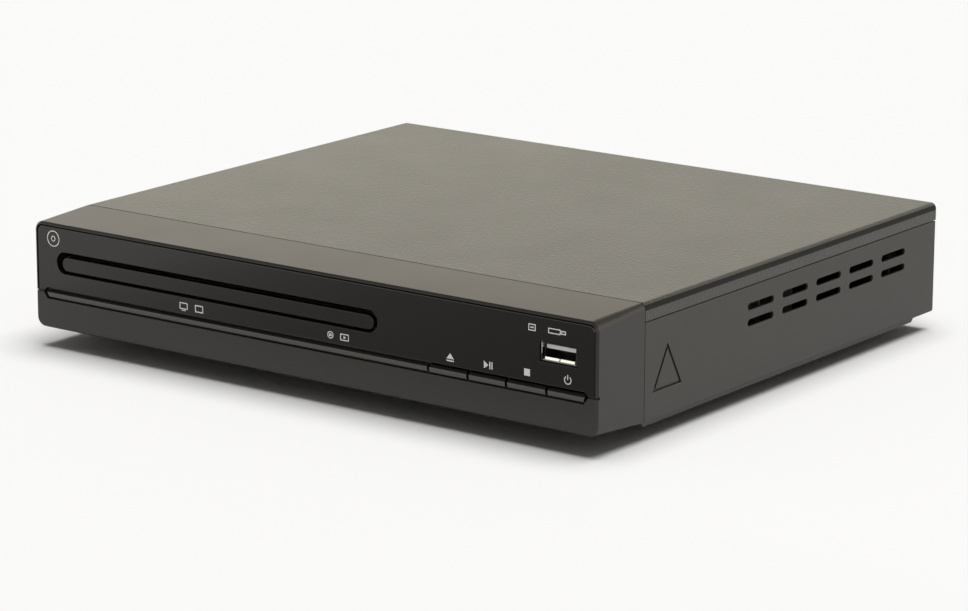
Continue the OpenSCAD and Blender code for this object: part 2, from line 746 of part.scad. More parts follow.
module traverse_plate() color("#9b9b9d") loader() difference() {
  union() {
    difference() {
      block([-plate_hw, traverse_y0, plate_z], [plate_hw, traverse_y1, plate_z + plate_t]);
      block([-26, disc_y + 13, plate_z - 1], [26, traverse_y1 - 4, plate_z + plate_t + 1]);
      translate([0, disc_y, plate_z - 1]) cylinder(h = plate_t + 2, r = 2);
    }
    mirrored() {
      // Front legs with their cam pins
      block([pin_x - 2, traverse_y0 - 1.1, pin_z - 1.6], [pin_x + 2, traverse_y0 + eps, plate_z + plate_t]);
      translate([pin_x, cam_y - cam_t / 2 - 0.2, pin_z]) rotate([-90, 0, 0])
        cylinder(h = traverse_y0 - 1.1 - cam_y + cam_t / 2 + 0.2 + eps, r = pin_r);
      // Hinge pins
      translate([plate_hw - eps, hinge_y, hinge_z]) rotate([0, 90, 0]) cylinder(h = 7.5, r = rod_r);
      // Lugs of the guide rods
      for (y = [disc_y + 13.5, traverse_y1 - 6])
        difference() {
          block([rod_x - 2.6, y, rod_z - 2.4], [rod_x + 2.6, y + 2.5, plate_z + eps]);
          translate([rod_x, y - 1, rod_z]) rotate([-90, 0, 0]) cylinder(h = 5, r = rod_r + 0.02);
        }
    }
    // Rear bearing of the lead screw
    difference() {
      block([screw_x - 2.4, traverse_y1 - 6, screw_z - 2], [plate_hw, traverse_y1 - 3.5, plate_z + eps]);
      translate([screw_x, traverse_y1 - 7, screw_z]) rotate([-90, 0, 0])
        cylinder(h = 5, r = 0.8 + running_gap);
    }
  }
}

module spindle_motor() color("#b7b7b4") loader() translate([0, disc_y, plate_z - 7.5]) {
  tube(7.5, 12, shaft_r + running_gap);
}

module spindle_shaft() color("#d6d6d2") loader()
  translate([0, disc_y, plate_z - 6.5]) cylinder(h = seat_z + 2.4 - plate_z + 6.5, r = shaft_r);

module turntable() color("#1f1f20") loader() translate([0, disc_y, 0]) difference() {
  union() {
    translate([0, 0, plate_z + plate_t + 1.5])
      cylinder(h = seat_z - 1.2 - plate_z - plate_t - 1.5 + eps, r = 4);
    translate([0, 0, seat_z - 1.2]) cylinder(h = 1.8, r = 15);
    translate([0, 0, seat_z + 0.6 - eps]) cylinder(h = 1.2, r = 7.4);
    translate([0, 0, seat_z + 1.8 - 2 * eps]) cylinder(h = 1.2, r1 = 7.4, r2 = 5);
  }
  translate([0, 0, plate_z]) cylinder(h = seat_z + 2.4 - plate_z, r = shaft_r);
}

module guide_rods() color("#cfcfca") loader() mirrored()
  translate([rod_x, disc_y + 13.5, rod_z]) rotate([-90, 0, 0])
    cylinder(h = traverse_y1 - 3.5 - disc_y - 13.5, r = rod_r);

module pickup() color("#6f7276") loader() difference() {
  union() {
    block([-24, pickup_y - 7.5, rod_z - 2.5], [24, pickup_y + pickup_back, plate_z + 1.2]);
    block([-9, pickup_y - 5, plate_z + 1.2 - eps], [9, pickup_y + 12, plate_z + 3]);
    mirrored() block([24 - eps, pickup_y - 5, rod_z - 2.3], [rod_x + 2.4, pickup_y + 14, rod_z + 2.3]);
    block([rod_x + 2.4 - eps, pickup_y + 2, screw_z - 1],
          [screw_x - lead_r - 0.2, pickup_y + 8, screw_z + 1]);
  }
  mirrored() translate([rod_x, pickup_y - 10, rod_z]) rotate([-90, 0, 0])
    cylinder(h = 40, r = rod_r + running_gap);
  translate([0, pickup_y, plate_z + 2]) cylinder(h = 3, r = 3.6);
}

module pickup_lens() color("#7fa8c9") loader() translate([0, pickup_y, plate_z + 2]) {
  tube(2.6, 3.6, 2.3);
  cylinder(h = 1.6, r = 2.3);
}

module sled_motor() color("#b0b0ac") loader() translate([screw_x, disc_y, screw_z]) rotate([-90, 0, 0])
  tube(12, 3.9, 0.8 + running_gap);

module lead_screw() color("#d9d9d5") loader() translate([screw_x, 0, screw_z]) rotate([-90, 0, 0]) {
  y0 = disc_y + 12.3;
  y1 = traverse_y1 - 6.3;
  turns = floor((y1 - y0) / 2);
  translate([0, 0, disc_y + 4]) cylinder(h = traverse_y1 - 4 - disc_y - 4, r = 0.8);
  rotate_extrude() polygon([[0, y0],
    for (i = [0:turns - 1]) each [[1.1, y0 + i * 2], [lead_r, y0 + i * 2 + 0.6], [lead_r, y0 + i * 2 + 1.2],
                                  [1.1, y0 + i * 2 + 1.8]],
    [0, y0 + turns * 2]]);
}

module tray_motor() color("#b9b9b6") loader() translate([motor_x, gear_y, deck_z - 10.5]) {
  difference() {
    cylinder(h = 10.5, r = 8);
    translate([0, 0, 4]) cylinder(h = 10, r = 1 + running_gap);
  }
}

module motor_pulley() color("#e4e2da") loader() translate([motor_x, gear_y, 0]) {
  translate([0, 0, deck_z - 6]) cylinder(h = deck_top + 0.4 - deck_z + 6 + eps, r = 1);
  pulley(motor_pulley_r);
}

// A grooved pulley for the square belt
module pulley(r) translate([0, 0, deck_top + 0.4]) rotate_extrude()
  polygon([[0, 0], [r + 0.7, 0], [r, 0.4], [r, 1.5], [r + 0.7, 1.9], [0, 1.9]]);

// The belt's closed path, `out` beyond the pulleys' running surfaces
function belt_path(out, lean = asin((pulley_r - motor_pulley_r) / (pulley_x - motor_x))) = concat(
  [for (i = [0:24]) let (a = -90 - lean + i * (180 + 2 * lean) / 24)
    [pulley_x, gear_y] + (pulley_r + out) * [cos(a), sin(a)]],
  [for (i = [0:16]) let (a = 90 + lean + i * (180 - 2 * lean) / 16)
    [motor_x, gear_y] + (motor_pulley_r + out) * [cos(a), sin(a)]]);

module drive_belt() color("#191919") loader() translate([0, 0, deck_top + 0.85])
  linear_extrude(belt_t) difference() {
    polygon(belt_path(belt_gap + belt_t));
    polygon(belt_path(belt_gap));
  }

module pulley_gear() color("#e9e6dc") loader() translate([pulley_x, gear_y, 0]) difference() {
  union() {
    pulley(pulley_r);
    translate([0, 0, deck_top + 2.3 - eps]) linear_extrude(1.7 + eps) rotate(180 / pulley_gear_n)
      gear_outline(gear_m, pulley_gear_n, 0.5);
    translate([0, 0, deck_top + 1]) cylinder(h = 3, r = 3);
  }
  translate([0, 0, deck_top - 1]) cylinder(h = 10, r = axle_r + running_gap);
}

module drive_gear() color("#efece2") loader() translate([pinion_x, gear_y, 0]) difference() {
  union() {
    translate([0, 0, deck_top + 0.2]) cylinder(h = 2.3, r = 4);
    translate([0, 0, deck_top + 2.5]) linear_extrude(1.4) gear_outline(gear_m, wheel_n, 0.5);
    translate([0, 0, deck_top + 3.9 - eps]) linear_extrude(groove_z - 0.25 - deck_top - 3.9)
      gear_outline(gear_m, pinion_n, 0.5);
    translate([0, 0, deck_top + 0.2]) cylinder(h = groove_z - 0.25 - deck_top - 0.2, r = 3);
  }
  translate([0, 0, deck_top - 1]) cylinder(h = 10, r = axle_r + running_gap);
}

module cam_slider() color("#e3e0d6") loader() along_y(cam_y - cam_t / 2, cam_y + cam_t / 2) difference() {
  translate([-pin_x - cam_travel - 3, cam_z0]) square([2 * pin_x + cam_travel + 7, cam_z1 - cam_z0]);
  for (x = [-pin_x, pin_x]) {
    for (p = [[x, pin_z], [x - cam_travel, pin_z - pin_fall]]) translate(p) circle(pin_r + 0.3);
    slope = atan(pin_fall / cam_travel);
    translate([x, pin_z]) rotate(slope) translate([-cam_travel / cos(slope), -pin_r - 0.3])
      square([cam_travel / cos(slope), 2 * pin_r + 0.6]);
  }
}

module clamp_bridge() color("#a9aaab") loader() difference() {
  block([-side_out, disc_y - bridge_w / 2, bridge_z], [side_out, disc_y + bridge_w / 2, bridge_z + bridge_t]);
  translate([0, disc_y, bridge_z - 1]) cylinder(h = bridge_t + 2, r = 9);
}

module clamper() color("#ece9df") loader() translate([0, disc_y, 0]) difference() {
  union() {
    translate([0, 0, seat_z + 1.95]) cylinder(h = 1.5, r = 14);
    translate([0, 0, seat_z + 3.4]) cylinder(h = bridge_z + bridge_t + 0.1 - seat_z - 3.4, r = 8.4);
    translate([0, 0, bridge_z + bridge_t + 0.1 - eps]) cylinder(h = 1.2, r = 12);
  }
  translate([0, 0, seat_z + 1]) cylinder(h = 2.4, r = 8);
}

// ---------- electronics ----------
module main_board() color("#2c6a3f") place() difference() {
  pcb(main_x0, main_x1, main_y0, main_y1);
  board_posts() cylinder(h = 30, r = 1.5);
}

module board_chips() color("#1b1b1d") place() translate([0, 0, board_top]) {
  for (c = [[70, 9, 14, 14, 1.4], [44, 8, 10, 14, 1.2], [26, 12, 8, 10, 1.6],
            [90, 7, 9, 6, 1.5], [114, 7, 12, 7, 1.5], [14, 24, 7, 7, 2.2]])
    translate([main_x0 + c[0], main_y0 + c[1], 0]) cube([c[2], c[3], c[4]]);
}

module board_capacitors() color("#33363d") place() translate([0, 0, board_top])
  for (p = [[60, 5], [60, 13], [104, 9], [130, 8], [38, 27], [10, 14]])
    translate([main_x0 + p[0], main_y0 + p[1]]) cylinder(h = 5.4, r = 2.5);

module board_headers() color("#e8e4d6") place() {
  block([header_x - 3.2, main_y0 + 2, board_top], [header_x + 3.2, main_y0 + 7, board_top + 4.6]);
  block([header_x - 3.2, power_y1 - 7, board_top], [header_x + 3.2, power_y1 - 2, board_top + 4.6]);
  block([cable_x0 - 1, main_y0 + 1, board_top], [cable_x0 + cable_w - 0.5, main_y0 + 5, board_top + 2.6]);
  block([inlet_x - 5, power_y1 - 10, board_top], [inlet_x + 5, power_y1 - 4, board_top + 9]);
}

module hdmi_socket() color("#c6c6c3") place() difference() {
  block([hdmi_x - 7.5, panel_y - 9, board_top], [hdmi_x + 7.5, case_d - 0.6, board_top + 6]);
  block([hdmi_x - 7.1, panel_y - 8, hdmi_z - 2.5], [hdmi_x + 7.1, case_d + 1, hdmi_z + 2.4]);
}

module jack_block() color("#18181a") place() {
  for (x = jack_x) block([x - 5.6, panel_y - 11, board_top], [x + 5.6, panel_y - eps, board_top + 14]);
  block([hdmi_x - 5.5, panel_y - 7.9, hdmi_z - 0.7], [hdmi_x + 5.5, case_d - 1.6, hdmi_z + 0.7]);
}

module jack_barrels() color("#c8c8c4") place() for (x = jack_x)
  translate([x, panel_y, jack_z]) rotate([-90, 0, 0]) difference() {
    union() {
      cylinder(h = 1.5, r = jack_neck_r);
      translate([0, 0, in_y - panel_y]) cylinder(h = overall_d - in_y, r = jack_r);
    }
    translate([0, 0, -1]) cylinder(h = overall_d, r = jack_bore_r);
  }

jack_colors = ["#d9c23a", "#c9c7c1", "#b3362c", "#26262a"];
module jack_insulators() place() for (i = [0:3]) color(jack_colors[i])
  translate([jack_x[i], panel_y, jack_z]) rotate([-90, 0, 0])
    tube(overall_d - panel_y - 1, jack_bore_r - 0.05, 1.6);

module scart_socket() color("#1a1a1c") place() difference() {
  block([scart_x - 23.5, panel_y - 14, board_top], [scart_x + 23.5, case_d + 1.5, scart_z + 7]);
  translate([scart_x, 0, 0]) along_y(panel_y - 3, case_d + 3)
    polygon([[-21.5, scart_z - 4.2], [-19.6, scart_z - 5.2], [21.5, scart_z - 5.2],
             [21.5, scart_z + 5.2], [-21.5, scart_z + 5.2]]);
  block([scart_x - 30, panel_y - eps, board_top - 1], [scart_x + 30, case_d + 3, scart_z - 7]);
}

module scart_contacts() color("#c9b97a") place() for (i = [0:9], row = [-1, 1])
  translate([scart_x - 17.1 + i * 3.8, panel_y - 3, scart_z + row * 2.8 - 0.6]) cube([1.4, 6, 1.2]);

module rear_panel() color("#b5b6b6") place() difference() {
  block([-half_w + 20.5, panel_y, wall], [half_w - 10.5, in_y, seam_z - 1.35]);
  for (x = jack_x) translate([x, panel_y - 1, jack_z]) rotate([-90, 0, 0])
    cylinder(h = 4, r = jack_neck_r + 0.1);
  block([hdmi_x - 7.7, panel_y - 1, board_top - 0.2], [hdmi_x + 7.7, case_d, board_top + 6.2]);
  block([scart_x - 23.7, panel_y - 1, scart_z - 7.2], [scart_x + 23.7, case_d, scart_z + 7.2]);
  block([inlet_x - 12.2, panel_y - 1, inlet_z - 8.7], [inlet_x + 12.2, case_d, inlet_z + 8.7]);
  for (i = [0:3]) translate([-half_w + 26 + i * 3, 0, 19]) along_y(panel_y - 1, case_d)
    rotate(90) stadium(12, 1.6);
}

module power_board() color("#8a6a35") place() difference() {
  pcb(power_x0, power_x1, power_y0, power_y1);
  board_posts() cylinder(h = 30, r = 1.5);
}

module transformer() color("#c9a63a") place() translate([power_mid - 11, power_y0 + 38, board_top]) {
  block([0, 0, 0], [22, 19, 3]);
  block([3, 3, 3 - eps], [19, 16, 13]);
  block([0, 0, 13 - eps], [22, 19, 16]);
  for (y = [-2, 16 + 3.02]) block([4, y < 0 ? -1.8 : 19 - eps, 2], [18, y < 0 ? eps : 20.8, 15]);
}

module power_capacitors() color("#26282c") place() translate([0, 0, board_top]) {
  translate([power_x1 - 12, power_y0 + 27]) cylinder(h = 20, r = 6.5);
  for (i = [0:2]) translate([power_x0 + 6 + i * 8.7, power_y1 - 22]) cylinder(h = 12, r = 4);
  block([power_x0 + 5, power_y0 + 10, 0], [power_x0 + 23, power_y0 + 18, 12]);
}

module heat_sink() color("#b9bbbd") place() translate([power_x1 - 13, power_y0 + 61, board_top]) {
  block([0, 0, 0], [1.6, 15, 17]);
  for (i = [0:2]) block([1.6 - eps, 1 + i * 5.6, 0], [6, 2.2 + i * 5.6, 17]);
}

module mains_inlet() color("#161618") place() difference() {
  union() {
    block([inlet_x - 12, panel_y - 14, inlet_z - 8.5], [inlet_x + 12, case_d - 0.4, inlet_z + 8.5]);
    block([inlet_x - 8, panel_y - 14, wall], [inlet_x + 8, panel_y - 2, inlet_z - 8.5 + eps]);
  }
  translate([inlet_x, 0, inlet_z]) along_y(panel_y - 10, case_d + 1) union() {
    square([8.6, 8.8], center = true);
    for (s = [-1, 1]) translate([s * 4.3, 0]) circle(4.4);
  }
}

module inlet_pins() color("#cfcfc9") place() for (s = [-1, 1])
  translate([inlet_x + s * 4.3, panel_y - 10, inlet_z]) rotate([-90, 0, 0]) cylinder(h = 9, r = 1.2);

module mains_wires() color("#6b4a2a") place() for (s = [-1, 1])
  translate([inlet_x + s * 3, power_y1 - 4, mains_wire_z]) rotate([-90, 0, 0])
    cylinder(h = panel_y - 14 - power_y1 + 4, r = 1.1);

module power_wires() color("#a33b2f") place() for (i = [-1:1])
  translate([header_x + i * 2, power_y1 - 2, wire_z]) rotate([-90, 0, 0])
    cylinder(h = main_y0 + 2 - power_y1 + 2, r = 0.7);

module flat_cable() color("#e5e3dc") place() {
  y0 = front_board_y + board_t + 3;
  bend = fascia_d + 1;
  low = wall + 0.15;
  t = cable_t;
  top = board_top + 1;
  along_x(cable_x0, cable_x0 + cable_w - 1.5) polygon([
    [y0, 7], [bend, 7], [bend + 1.6, low], [main_y0 - 3, low], [main_y0 - 1.6, top], [main_y0 + 1, top],
    [main_y0 + 1, top + t], [main_y0 - 2, top + t], [main_y0 - 3.4, low + t], [bend + 2, low + t],
    [bend + 0.4, 7 + t], [y0, 7 + t]]);
}

module board_screws() color("#8f8f92") place() {
  board_posts() difference() {
    union() {
      translate([0, 0, board_top]) cylinder(h = 1.6, r = 2.4);
      translate([0, 0, wall + 0.6]) cylinder(h = board_top - wall - 0.6 + eps, r = 1.2);
    }
    cross_slot(board_top + 1.6);
  }
  for (p = board_peg) translate([p[0], front_board_y + board_t, p[1]]) rotate([-90, 0, 0]) {
    cylinder(h = 1.3, r = 1.9);
    translate([0, 0, -6]) cylinder(h = 6 + eps, r = 0.85);
  }
}

lower_case();
top_cover();
fascia();
front_panel();
trim_bar();
button_eject();
button_play();
button_stop();
button_power();
rear_panel();
rubber_feet();
case_screws();
front_board();
tact_switches();
ir_receiver();
usb_socket();
usb_tongue();
loader_frame();
disc_tray();
tray_door();
traverse_plate();
spindle_motor();
spindle_shaft();
turntable();
pickup();
pickup_lens();
guide_rods();
sled_motor();
lead_screw();
tray_motor();
motor_pulley();
drive_belt();
pulley_gear();
drive_gear();
cam_slider();
clamp_bridge();
clamper();
grommets();
loader_screws();
main_board();
board_chips();
board_capacitors();
board_headers();
hdmi_socket();
jack_block();
jack_barrels();
jack_insulators();
scart_socket();
scart_contacts();
power_board();
transformer();
power_capacitors();
heat_sink();
mains_inlet();
inlet_pins();
mains_wires();
power_wires();
flat_cable();
board_screws();
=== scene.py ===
"""A compact disc player with a sliding tray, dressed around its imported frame."""

from __future__ import annotations

import logging
import math
from collections.abc import Callable, Iterable, Sequence
from dataclasses import dataclass, field
from enum import Enum
from typing import Union

import bmesh
import bpy
from mathutils import Matrix, Vector

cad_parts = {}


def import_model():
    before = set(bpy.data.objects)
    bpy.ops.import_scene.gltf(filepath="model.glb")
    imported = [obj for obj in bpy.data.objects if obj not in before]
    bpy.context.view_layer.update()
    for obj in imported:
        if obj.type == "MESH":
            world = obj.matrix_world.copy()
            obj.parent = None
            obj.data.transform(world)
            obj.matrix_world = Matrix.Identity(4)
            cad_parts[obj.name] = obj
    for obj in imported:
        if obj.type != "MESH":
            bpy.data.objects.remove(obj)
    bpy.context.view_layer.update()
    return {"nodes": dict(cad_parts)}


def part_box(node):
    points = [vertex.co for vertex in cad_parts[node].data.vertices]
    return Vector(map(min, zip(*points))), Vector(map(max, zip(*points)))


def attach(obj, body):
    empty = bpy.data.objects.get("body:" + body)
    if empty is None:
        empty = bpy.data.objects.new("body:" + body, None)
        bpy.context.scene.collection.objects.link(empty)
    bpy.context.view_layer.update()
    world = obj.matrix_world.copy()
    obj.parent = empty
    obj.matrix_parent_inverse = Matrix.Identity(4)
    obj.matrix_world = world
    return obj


log = logging.getLogger("player")

Tree = bpy.types.NodeTree
Node = bpy.types.Node
Socket = bpy.types.NodeSocket
Material = bpy.types.Material
Piece = bpy.types.Object
Mesh = bmesh.types.BMesh
Colour = tuple[float, float, float]
Point = tuple[float, float, float]
Flat = tuple[float, float]
Value = Union[Socket, float, Colour]
Row = tuple[int, Vector, Vector]

MM = 0.001
PHOTO_WIDTH = 968
CHASSIS = "chassis"
MERGE_DISTANCE = 1e-7
WELD_DISTANCE = 2e-6
SHARP_ANGLE = math.radians(32)
FLAT_ANGLE = math.radians(0.6)
DUST_COLOUR: Colour = (0.30, 0.29, 0.26)


class Slot(str, Enum):
    """The record's material slots; no piece in this script is given one."""

    PRINT = "switch_plastic"
    BLACK_PLASTIC = "black_plastic"
    CONTACT_METAL = "contact_metal"
    BRIGHT_METAL = "bright_metal"
    RUBBER = "foot_rubber"
    ZINC_SCREW = "zinc_screw"


# ---------------------------------------------------------------- places


@dataclass
class Bench:
    """Turns sizes in millimetres on the player into places in the frame.

    X is measured from the middle of the front, Y from the front rearwards, and Z
    from the bottom of the case.

    Attributes:
        front_y: The front's plane, in metres.
        case_z: The bottom of the case, in metres.
    """

    front_y: float = 0.0
    case_z: float = 0.0

    def __post_init__(self) -> None:
        """Read the front's plane and the case's bottom from the frame."""
        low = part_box("fascia")[0]
        self.front_y, self.case_z = low.y, low.z

    def at(self, x: float, y: float, z: float) -> Vector:
        """Return the place of a point given in millimetres."""
        return Vector((x * MM, self.front_y + y * MM, self.case_z + z * MM))


# ---------------------------------------------------------------- shader groups


def new_group(name: str, inputs: dict[str, float], *outputs: str) -> Tree:
    """Make an empty shader group whose sockets are all numbers.

    Args:
        name: The group's name.
        inputs: Each input's name and its value.
        *outputs: Each output's name.

    Returns:
        The group, with one Group Input and one Group Output node.
    """
    tree = bpy.data.node_groups.new(name, "ShaderNodeTree")
    for key, value in inputs.items():
        socket = tree.interface.new_socket(name=key, in_out="INPUT", socket_type="NodeSocketFloat")
        socket.default_value = value
    for key in outputs:
        tree.interface.new_socket(name=key, in_out="OUTPUT", socket_type="NodeSocketFloat")
    tree.nodes.new("NodeGroupInput")
    tree.nodes.new("NodeGroupOutput")
    return tree


def ends(tree: Tree) -> tuple[Node, Node]:
    """Return a group's input and output nodes."""
    return tree.nodes["Group Input"], tree.nodes["Group Output"]


def link(tree: Tree, source: Socket, target: Socket) -> None:
    """Join two sockets."""
    tree.links.new(source, target)


def feed(tree: Tree, value: Value, target: Socket) -> None:
    """Give an input its value.

    Args:
        tree: The tree that the input is in.
        value: A socket to join to it, or the number or colour that it keeps.
        target: The input.
    """
    if isinstance(value, tuple):
        target.default_value = (*value, 1.0)
    elif isinstance(value, (int, float)):
        target.default_value = value
    else:
        link(tree, value, target)


def maths(tree: Tree, operation: str, first: Value, second: Value, clamp: bool = False) -> Socket:
    """Add a Math node.

    Args:
        tree: The tree to add to.
        operation: The node's operation.
        first: A socket or a number.
        second: A socket or a number.
        clamp: Whether the result is held between 0 and 1.

    Returns:
        The node's output socket.
    """
    node = tree.nodes.new("ShaderNodeMath")
    node.operation = operation
    node.use_clamp = clamp
    for slot, value in enumerate((first, second)):
        feed(tree, value, node.inputs[slot])
    return node.outputs[0]


def own_coordinates(tree: Tree) -> Socket:
    """Add a Texture Coordinate node and return its Object coordinates."""
    return tree.nodes.new("ShaderNodeTexCoord").outputs["Object"]


def axes(tree: Tree, vector: Socket) -> Node:
    """Split a vector into its parts.

    Args:
        tree: The tree to add to.
        vector: The vector.

    Returns:
        The node, whose outputs are X, Y and Z.
    """
    split = tree.nodes.new("ShaderNodeSeparateXYZ")
    link(tree, vector, split.inputs[0])
    return split


def noise(tree: Tree, scale: Value, detail: float, vector: Socket) -> Socket:
    """Add a Noise Texture and return its factor.

    Args:
        tree: The tree to add to.
        scale: The scale in features per metre.
        detail: The noise's detail.
        vector: The coordinates.

    Returns:
        The factor's socket.
    """
    texture = tree.nodes.new("ShaderNodeTexNoise")
    texture.inputs["Detail"].default_value = detail
    link(tree, vector, texture.inputs["Vector"])
    feed(tree, scale, texture.inputs["Scale"])
    return texture.outputs["Fac"]


def mix_colour(tree: Tree, factor: Value, first: Value, second: Value) -> Socket:
    """Add a colour Mix node.

    Args:
        tree: The tree to add to.
        factor: A socket or a number.
        first: A socket or a colour.
        second: A socket or a colour.

    Returns:
        The result's socket.
    """
    node = tree.nodes.new("ShaderNodeMix")
    node.data_type = "RGBA"
    for key, value in (("Factor_Float", factor), ("A_Color", first), ("B_Color", second)):
        feed(tree, value, next(s for s in node.inputs if s.identifier == key))
    return next(s for s in node.outputs if s.identifier == "Result_Color")


def build_grain_group() -> Tree:
    """Make the moulded grain: shallow pits of one size, in millimetres, under a finer noise.

    Returns:
        The group.
    """
    softness, finer, detail = 0.6, 1.7, 3.0
    pit_share, noise_share = 0.7, 0.5
    tree = new_group("moulded_grain", {"Size": 0.6}, "Mask")
    source, target = ends(tree)
    scale = maths(tree, "DIVIDE", 1 / MM, source.outputs["Size"])
    coords = own_coordinates(tree)
    pits = tree.nodes.new("ShaderNodeTexVoronoi")
    pits.feature = "SMOOTH_F1"
    pits.inputs["Smoothness"].default_value = softness
    link(tree, coords, pits.inputs["Vector"])
    link(tree, scale, pits.inputs["Scale"])
    fine = noise(tree, maths(tree, "MULTIPLY", scale, finer), detail, coords)
    pitted = maths(tree, "MULTIPLY", pits.outputs["Distance"], pit_share)
    rippled = maths(tree, "MULTIPLY", fine, noise_share)
    link(tree, maths(tree, "ADD", pitted, rippled), target.inputs["Mask"])
    return tree


def build_wear_group() -> Tree:
    """Make the handling marks: broad soft patches and dust on faces that look up.

    Returns:
        The group.
    """
    patches_per_metre, patch_detail = 38.0, 4.0
    specks_per_metre, speck_detail, speck_contrast = 900.0, 5.0, 2.0
    tree = new_group("handling_marks", {"Roughness": 0.4, "Patch": 0.04, "Dust": 0.03}, "Dust", "Roughness")
    source, target = ends(tree)
    coords = own_coordinates(tree)
    broad = maths(tree, "SUBTRACT", noise(tree, patches_per_metre, patch_detail, coords), 0.5)
    patch = maths(tree, "MULTIPLY", broad, source.outputs["Patch"])
    rough = maths(tree, "ADD", source.outputs["Roughness"], patch, clamp=True)
    link(tree, rough, target.inputs["Roughness"])
    facing = axes(tree, tree.nodes.new("ShaderNodeNewGeometry").outputs["Normal"])
    upward = maths(tree, "MAXIMUM", facing.outputs["Z"], 0.0)
    specks = maths(tree, "POWER", noise(tree, specks_per_metre, speck_detail, coords), speck_contrast)
    lying = maths(tree, "MULTIPLY", upward, specks)
    link(tree, maths(tree, "MULTIPLY", lying, source.outputs["Dust"], clamp=True), target.inputs["Dust"])
    return tree


def build_brush_group() -> Tree:
    """Make the fine lines that rolling leaves on sheet metal, along X.

    Returns:
        The group.
    """
    lines_per_metre, detail = 4200.0, 3.0
    tree = new_group("rolled_lines", {"Stretch": 40.0, "Strength": 0.1}, "Height", "Change")
    source, target = ends(tree)
    squeeze = tree.nodes.new("ShaderNodeCombineXYZ")
    squeeze.inputs["Y"].default_value = 1.0
    squeeze.inputs["Z"].default_value = 1.0
    link(tree, maths(tree, "DIVIDE", 1.0, source.outputs["Stretch"]), squeeze.inputs["X"])
    product = tree.nodes.new("ShaderNodeVectorMath")
    product.operation = "MULTIPLY"
    link(tree, own_coordinates(tree), product.inputs[0])
    link(tree, squeeze.outputs[0], product.inputs[1])
    lines = noise(tree, lines_per_metre, detail, product.outputs[0])
    link(tree, lines, target.inputs["Height"])
    change = maths(tree, "MULTIPLY", maths(tree, "SUBTRACT", lines, 0.5), source.outputs["Strength"])
    link(tree, change, target.inputs["Change"])
    return tree


class Groups:
    """The shader groups, each built once when first asked for.

    Attributes:
        _made: The groups that are built.
        _builders: The function that builds each one.
    """

    _made: dict[str, Tree] = {}
    _builders: dict[str, Callable[[], Tree]] = {
        "grain": build_grain_group,
        "wear": build_wear_group,
        "brush": build_brush_group,
    }

    @classmethod
    def place(cls, tree: Tree, key: str, **values: float) -> Node:
        """Put a group in a material with its own values.

        Args:
            tree: The material's tree.
            key: Which group.
            **values: The inputs' values.

        Returns:
            The group's node.
        """
        if key not in cls._made:
            cls._made[key] = cls._builders[key]()
        node = tree.nodes.new("ShaderNodeGroup")
        node.node_tree = cls._made[key]
        for name, value in values.items():
            node.inputs[name].default_value = value
        return node


# ---------------------------------------------------------------- finishes


